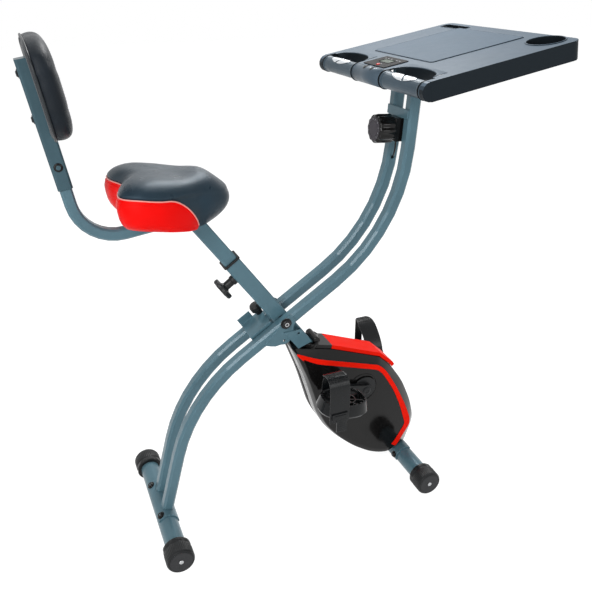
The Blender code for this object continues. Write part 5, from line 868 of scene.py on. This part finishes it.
piece("console_marks", bm, label_pale, "desk_frame", DESK_FRAME)
desk_trim("screen_frame", rounded_loop((0.0320, -0.0212), (0.0520, 0.0212), 0.0015, 3), 0.0006, 0.0019, console_black)

# Resistance knob with flutes, a face and a ring of marks
bm = bmesh.new()
turn = HEAD_FRAME @ spin(-pi / 2, "Y")
profile = [(0.0048, 0.0004), (0.027, 0.0004), (0.0325, 0.0022), (0.0338, 0.0050), (0.0338, 0.0360), (0.0330, 0.0405),
           (0.0305, 0.0438), (0.0280, 0.0446), (0.0272, 0.0440), (0.0, 0.0440)]
add_turned(bm, profile, 144, turn, flutes=12, depth=0.070)
piece("resistance_knob_grip", bm, gloss, "tension_knob", angle=50, replaces=("tension_knob",))
bm = bmesh.new()
add_turned(bm, [(0.0, 0.0436), (0.0272, 0.0436), (0.0268, 0.0450), (0.0200, 0.0453), (0.0192, 0.0446),
                (0.0180, 0.0446), (0.0172, 0.0454), (0.0, 0.0455)], 64, turn)
piece("resistance_knob_face", bm, knob_face, "tension_knob")
bm = bmesh.new()
for mark in range(9):
    across = turn @ spin(radians(-135 + mark * 30), "Z")
    add_box(bm, (0.0208, -0.0003, 0.0448), (0.0245, 0.0003, 0.04545), across)
piece("resistance_knob_marks", bm, label_pale, "tension_knob")


# Foot caps with fine ribs, a plain band and a matt end face
def ribbing(kind, angle):
    """How far a cap's surface is cut back: 1 is the notched rim and 2 the fine ribs."""
    if kind == 2:
        return 0.0011 * (0.5 - 0.5 * cos(48 * angle))
    return 0.0016 * max(0.0, cos(6 * angle)) ** 2 if kind == 1 else 0.0


def foot_cap(name, foot, side, body):
    out = side_matrix(foot, side)
    start, end = 0.155, 0.205
    profile = [(0.0285, start, 0), (0.0330, start, 0), (0.0346, start + 0.002, 1), (0.0346, start + 0.010, 1),
               (0.0332, start + 0.012, 0), (0.0332, start + 0.015, 0), (0.0350, start + 0.017, 2),
               (0.0350, end - 0.007, 2), (0.0344, end - 0.004, 2), (0.0325, end - 0.0012, 0), (0.0300, end, 0),
               (0.0290, end - 0.0008, 0), (0.0, end - 0.0008, 0)]
    bm = bmesh.new()
    skin(bm, [[out @ Vector((*polar(reach - ribbing(kind, angle), angle), along)) for angle in turns(144)]
              for reach, along, kind in profile])
    piece(name + "_ribbed", bm, black, body, angle=35, replaces=(name,))
    bm = bmesh.new()
    add_turned(bm, [(0.0, end - 0.0010), (0.0284, end - 0.0010), (0.0280, end - 0.0002), (0.0, end - 0.0002)], 48, out)
    piece(name + "_face", bm, cap_face, body)


for foot, body, word in FEET:
    for side, hand in SIDES:
        foot_cap(f"{hand}_{word}_cap", foot, side, body)


# Dark bolt heads with washers on the saddles and the backrest sleeve
def dome(bm, matrix, radius, low, high):
    add_turned(bm, [(0.0, low), (radius * 1.35, low), (radius * 1.35, low + 0.0010), (radius, low + 0.0012),
                    (radius, high - 0.0018), (radius * 0.75, high), (radius * 0.40, high),
                    (radius * 0.34, high - 0.0014), (0.0, high - 0.0014)], 24, matrix)


SADDLE_SEAT = 0.0283
SADDLE_LEAN = radians(48.0)
REAR_TUBE = Vector((0.090, 0.0, 0.335))
for (foot, body, word), toward in zip(FEET, (REAR_TUBE, POST_UP)):
    heading = atan2(toward.z, toward.x) + SADDLE_LEAN
    bm = bmesh.new()
    for side in (-1, 1):
        turned_out = moved(foot + Vector((0.0, side * 0.060, 0.0))) @ spin(pi / 2 - heading, "Y")
        dome(bm, turned_out, 0.0072, SADDLE_SEAT, SADDLE_SEAT + 0.0060)
    piece(word + "_saddle_bolts", bm, gloss, body)
bm = bmesh.new()
for up in (0.266, 0.351):
    behind = BACK_FRAME @ moved((0, 0, up)) @ spin(-pi / 2, "Y")
    dome(bm, behind, 0.0066, 0.0151, 0.0185)
beside = BACK_FRAME @ moved((0, 0, 0.1705)) @ spin(pi / 2, "X")
dome(bm, beside, 0.0066, 0.0151, 0.0185)
piece("backrest_bolt_rings", bm, gloss, "seat")

# Housing halves: smooth shells over the same rim, shoulder and panel lines
SPAN = 6
HOUSING_RIM = in_metres([
    (-45, 455), (-6, 351), (12, 289), (27, 235), (48, 192), (84, 147), (131, 102), (182, 66), (219, 50), (254, 45),
    (313, 58), (332.5, 117), (335.5, 145), (322, 200), (291, 272), (247, 337), (213, 369), (68, 426)])
HOUSING_SHOULDER = in_metres([
    (-40.5, 449), (-1, 352), (17, 291), (32, 238), (53, 196), (88, 152), (134, 108), (184, 73), (219, 58), (250, 52),
    (276, 72), (312, 133), (312, 154), (292, 206), (261, 271), (222, 337), (199, 358), (20, 418)])
RIM_Y, EDGE_Y, SHOULDER_Y, PANEL_Y = 0.0004, 0.035, 0.057, 0.060
STRIPE_WIDTH, STRIPE_LIFT = 0.0125, 0.0010
STRIPE_FIRST, STRIPE_LAST = 10 * SPAN, 19 * SPAN - 1
OPENING_RADIUS = 0.0305
CRISP_CORNERS = (0, 10, 11, 16)
CRISP_REACH, SOFT_REACH, CORNER_SHARE = 0.008, 0.026, 0.40
PROFILE_REACH, PROFILE_STEPS = 0.0035, 4


def inset(outline, distance):
    """A counterclockwise outline moved inward by a distance, corner by corner."""
    result = []
    for i, here in enumerate(outline):
        before, after = Vector(outline[i - 1]), Vector(outline[(i + 1) % len(outline)])
        here = Vector(here)
        a, b = (here - before).normalized(), (after - here).normalized()
        na, nb = Vector((-a.y, a.x)), Vector((-b.y, b.x))
        middle = (na + nb).normalized()
        result.append(tuple(here + middle * (distance / max(middle.dot(na), 0.5))))
    return result


def corner_curve(a, here, b, steps):
    """Points of a short curve from a to b that bends towards here."""
    shares = [step / (steps - 1) for step in range(steps)]
    return [(1 - t) ** 2 * a + 2 * t * (1 - t) * here + t * t * b for t in shares]


def softened(outline):
    """Corners turned into short curves, SPAN points for each corner."""
    result = []
    count = len(outline)
    for i in range(count):
        here = Vector(outline[i])
        back, on = Vector(outline[i - 1]) - here, Vector(outline[(i + 1) % count]) - here
        reach = CRISP_REACH if i in CRISP_CORNERS else SOFT_REACH
        a = here + back * min(CORNER_SHARE, reach / back.length)
        b = here + on * min(CORNER_SHARE, reach / on.length)
        result += corner_curve(a, here, b, SPAN)
    return result


def eased(points):
    """A profile with its inner corners rounded off."""
    result = [points[0]]
    for before, here, after in zip(points, points[1:], points[2:]):
        back, on = before - here, after - here
        a = here + back.normalized() * min(PROFILE_REACH, back.length * 0.45)
        b = here + on.normalized() * min(PROFILE_REACH, on.length * 0.45)
        result += corner_curve(a, here, b, PROFILE_STEPS)
    result.append(points[-1])
    return result


HOUSING_PANEL = inset(HOUSING_SHOULDER, STRIPE_WIDTH)
rim_line, shoulder_line, panel_line = (softened(line) for line in (HOUSING_RIM, HOUSING_SHOULDER, HOUSING_PANEL))
CRANK_XZ = Vector((CRANK.x - ORIGIN_X, CRANK.z))
for side, word in SIDES:
    columns = []
    for rim, shoulder, panel in zip(rim_line, shoulder_line, panel_line):
        toward = (panel - CRANK_XZ).normalized()
        hole = CRANK_XZ + toward * OPENING_RADIUS
        ring_edge = CRANK_XZ + toward * (OPENING_RADIUS + 0.010)
        path = ((rim, RIM_Y), (rim, EDGE_Y), (shoulder, SHOULDER_Y), (panel, PANEL_Y), (ring_edge, PANEL_Y),
                (hole, PANEL_Y - 0.0012), (hole, PANEL_Y - 0.0060))
        columns.append(eased([Vector((spot.x, side * y, spot.y)) for spot, y in path]))
    bm = bmesh.new()
    skin(bm, [list(row) for row in zip(*columns)], caps=())
    shell = piece(word + "_housing_shell", bm, gloss, "drive_frame", ROW_PLACE, angle=50,
                  replaces=(word + "_housing",))
    configured(shell.modifiers.new("Wall", "SOLIDIFY"), thickness=0.002, offset=-1.0)

    # The coloured stripe lies on the sloping band and laps a little onto the panel towards its lower end
    bm = bmesh.new()
    rows = []
    for i in range(STRIPE_FIRST, STRIPE_LAST + 1):
        k = i % len(rim_line)
        share = smooth_step((14.6 * SPAN - i) / (2.2 * SPAN))
        outer, inner = shoulder_line[k], panel_line[k]
        lap = inner + (inner - outer) * 0.55 * share
        low = PANEL_Y + 0.0002
        path = ((outer, SHOULDER_Y + 0.0002), (inner, PANEL_Y + 0.0001), (lap, low), (lap, low + STRIPE_LIFT),
                (inner, low + STRIPE_LIFT), (outer, SHOULDER_Y + 0.0004 + STRIPE_LIFT))
        rows.append([(spot.x, side * y, spot.y) for spot, y in path])
    skin(bm, rows)
    piece(word + "_housing_stripe", bm, red, "drive_frame", ROW_PLACE, bevel=0.0003, replaces=(word + "_red_stripe",))

# Hand openings: a raised lip with a curved rear edge and a deep wall below it, dark from the desk's painted shade on
# faces that don't look up
OPEN_LOW, OPEN_HIGH, OPEN_FRONT, OPEN_REAR = 0.070, 0.215, 0.0205, 0.055
OPEN_STEPS = 40
for side, word in SIDES:
    middle = (OPEN_LOW + OPEN_HIGH) / 2
    half = (OPEN_HIGH - OPEN_LOW) / 2 - 0.002
    rows = []
    for i in range(OPEN_STEPS + 1):
        u = -1 + 2 * i / OPEN_STEPS
        near = OPEN_FRONT + 0.0015 + (OPEN_REAR - OPEN_FRONT - 0.004) * max(1 - abs(u) ** 2.4, 0.0) ** 0.62
        far = OPEN_REAR + 0.0045
        if abs(u) > 0.93:
            far -= 0.004 * ((abs(u) - 0.93) / 0.07) ** 2
        section = ((near + 0.0022, -0.038), (near, -0.038), (near, -0.0012), (near + 0.0012, 0.0004), (far, 0.0004),
                   (far + 0.0008, 0.0), (far, -0.0002), (near + 0.0030, -0.0002), (near + 0.0022, -0.0030))
        rows.append([(x, side * (middle + half * u), z) for x, z in section])
    bm = bmesh.new()
    skin(bm, rows)
    piece(word + "_hand_opening", bm, desk_plastic, "desk_frame", DESK_FRAME, angle=30)

# Pulse plates: two leaf-shaped halves on the top of each grip
GRIP_RADIUS, GRIP_DOWN, GRIP_MIDDLE = 0.0184, 0.020, 0.145
LEAF_HALF, LEAF_SPREAD, LEAF_LEAN, LEAF_SPLIT = 0.045, 40, 0.22, 0.065
for side, word in SIDES:
    bm = bmesh.new()
    for sense in (-1, 1):
        rows = []
        for i in range(13):
            v = -1 + 2 * i / 12
            start = LEAF_LEAN * v + sense * LEAF_SPLIT
            row = []
            for k in range(15):
                u = start + (sense * 0.995 - start) * k / 14
                x, z = polar(GRIP_RADIUS, radians(97 + LEAF_SPREAD * v * max(1 - u * u, 0.0) ** 0.62))
                row.append((x, side * (GRIP_MIDDLE + LEAF_HALF * u), z - GRIP_DOWN))
            rows.append(row)
        skin(bm, rows, closed=False, caps=())
    plate = piece(word + "_pulse_leaf", bm, chrome, "desk_frame", DESK_FRAME, angle=60,
                  replaces=(word + "_pulse_plate",))
    configured(plate.modifiers.new("Wall", "SOLIDIFY"), thickness=0.0007, offset=1.0)


# Smooth sleeve over the middle barrel, with a dark ring at each end and one at each grip's outer end
def turned_on_bar(name, profile, finish, gap=(0.0, 0.0)):
    """A turned piece round the grip bar; gap is the span of angles that it leaves open."""
    bm = bmesh.new()
    whole = gap[0] == gap[1]
    sweep = 2 * pi - (gap[1] - gap[0])
    angles = [gap[1] + sweep * i / (64 if whole else 63) for i in range(64)]
    bar = DESK_FRAME @ moved((0.0, 0.0, -GRIP_DOWN)) @ spin(-pi / 2, "X")
    spun = [[bar @ Vector((*polar(radius, angle), along)) for angle in angles]
            for radius, along in profile + [profile[0]]]
    verts = skin(bm, spun, closed=whole, caps=())
    if not whole:
        for i in (0, -1):
            bm.faces.new([row[i] for row in verts[:-1]])
    bmesh.ops.remove_doubles(bm, verts=bm.verts, dist=0.00001)
    piece(name, bm, finish, "desk_frame")


RING_BORE = 0.0172
turned_on_bar("barrel_sleeve", [(0.01952, -0.0632), (0.0197, -0.0628), (0.0197, 0.0628), (0.01952, 0.0632)],
              barrel_plastic, gap=(radians(-68.0), radians(-6.0)))
for side, word in SIDES:
    for kind, near, far, rim, crest in (("barrel", 0.0634, 0.0662, 0.0205, 0.0209),
                                        ("grip", 0.2190, 0.2225, 0.0197, 0.0200)):
        low, high = sorted((side * near, side * far))
        section = [(RING_BORE, low), (rim, low), (crest, (low + high) / 2), (rim, high), (RING_BORE, high)]
        turned_on_bar(f"{word}_{kind}_ring", section, console_black)

# Two tabs from the console over the barrel
bm = bmesh.new()
for y in (-0.0145, 0.0165):
    rows = []
    for i in range(9):
        wide = 0.0042 if i < 7 else 0.0042 - 0.0012 * (i - 6)
        row = []
        for radius, w in ((0.0197, -wide), (0.0197, wide), (0.0206, wide), (0.0206, -wide)):
            x, z = polar(radius, radians(62 + 62 * i / 8))
            row.append((x, y + w, z - GRIP_DOWN))
        rows.append(row)
    skin(bm, rows)
piece("console_tabs", bm, gloss, "desk_frame", DESK_FRAME, bevel=0.0003)

# A rounded lip round the post where it enters the housing, with a roll in the trough behind it
LIP_DOWN = -0.127
arch = [polar(1.0, radians(degrees)) for degrees in range(-84, 85, 6)]
arch = [(-0.014, -0.0335)] + [(0.004 + 0.034 * c, 0.0335 * s) for c, s in arch] + [(-0.014, 0.0335)]
tube_along("post_entry_lip", [POST_FRAME @ Vector((x, y, LIP_DOWN)) for x, y in arch], 0.0048, gloss, "drive_frame")
bm = bmesh.new()
add_turned(bm, [(0.0, -0.027), (0.0075, -0.027), (0.0095, -0.025), (0.0095, 0.025), (0.0075, 0.027), (0.0, 0.027)], 32,
           POST_FRAME @ moved((0.029, 0.0, LIP_DOWN + 0.004)) @ spin(pi / 2, "X"))
piece("post_entry_roll", bm, gloss, "drive_frame")

size = {"cad_box_m": CAD_BOX, "visual_box_m": plain_box()}
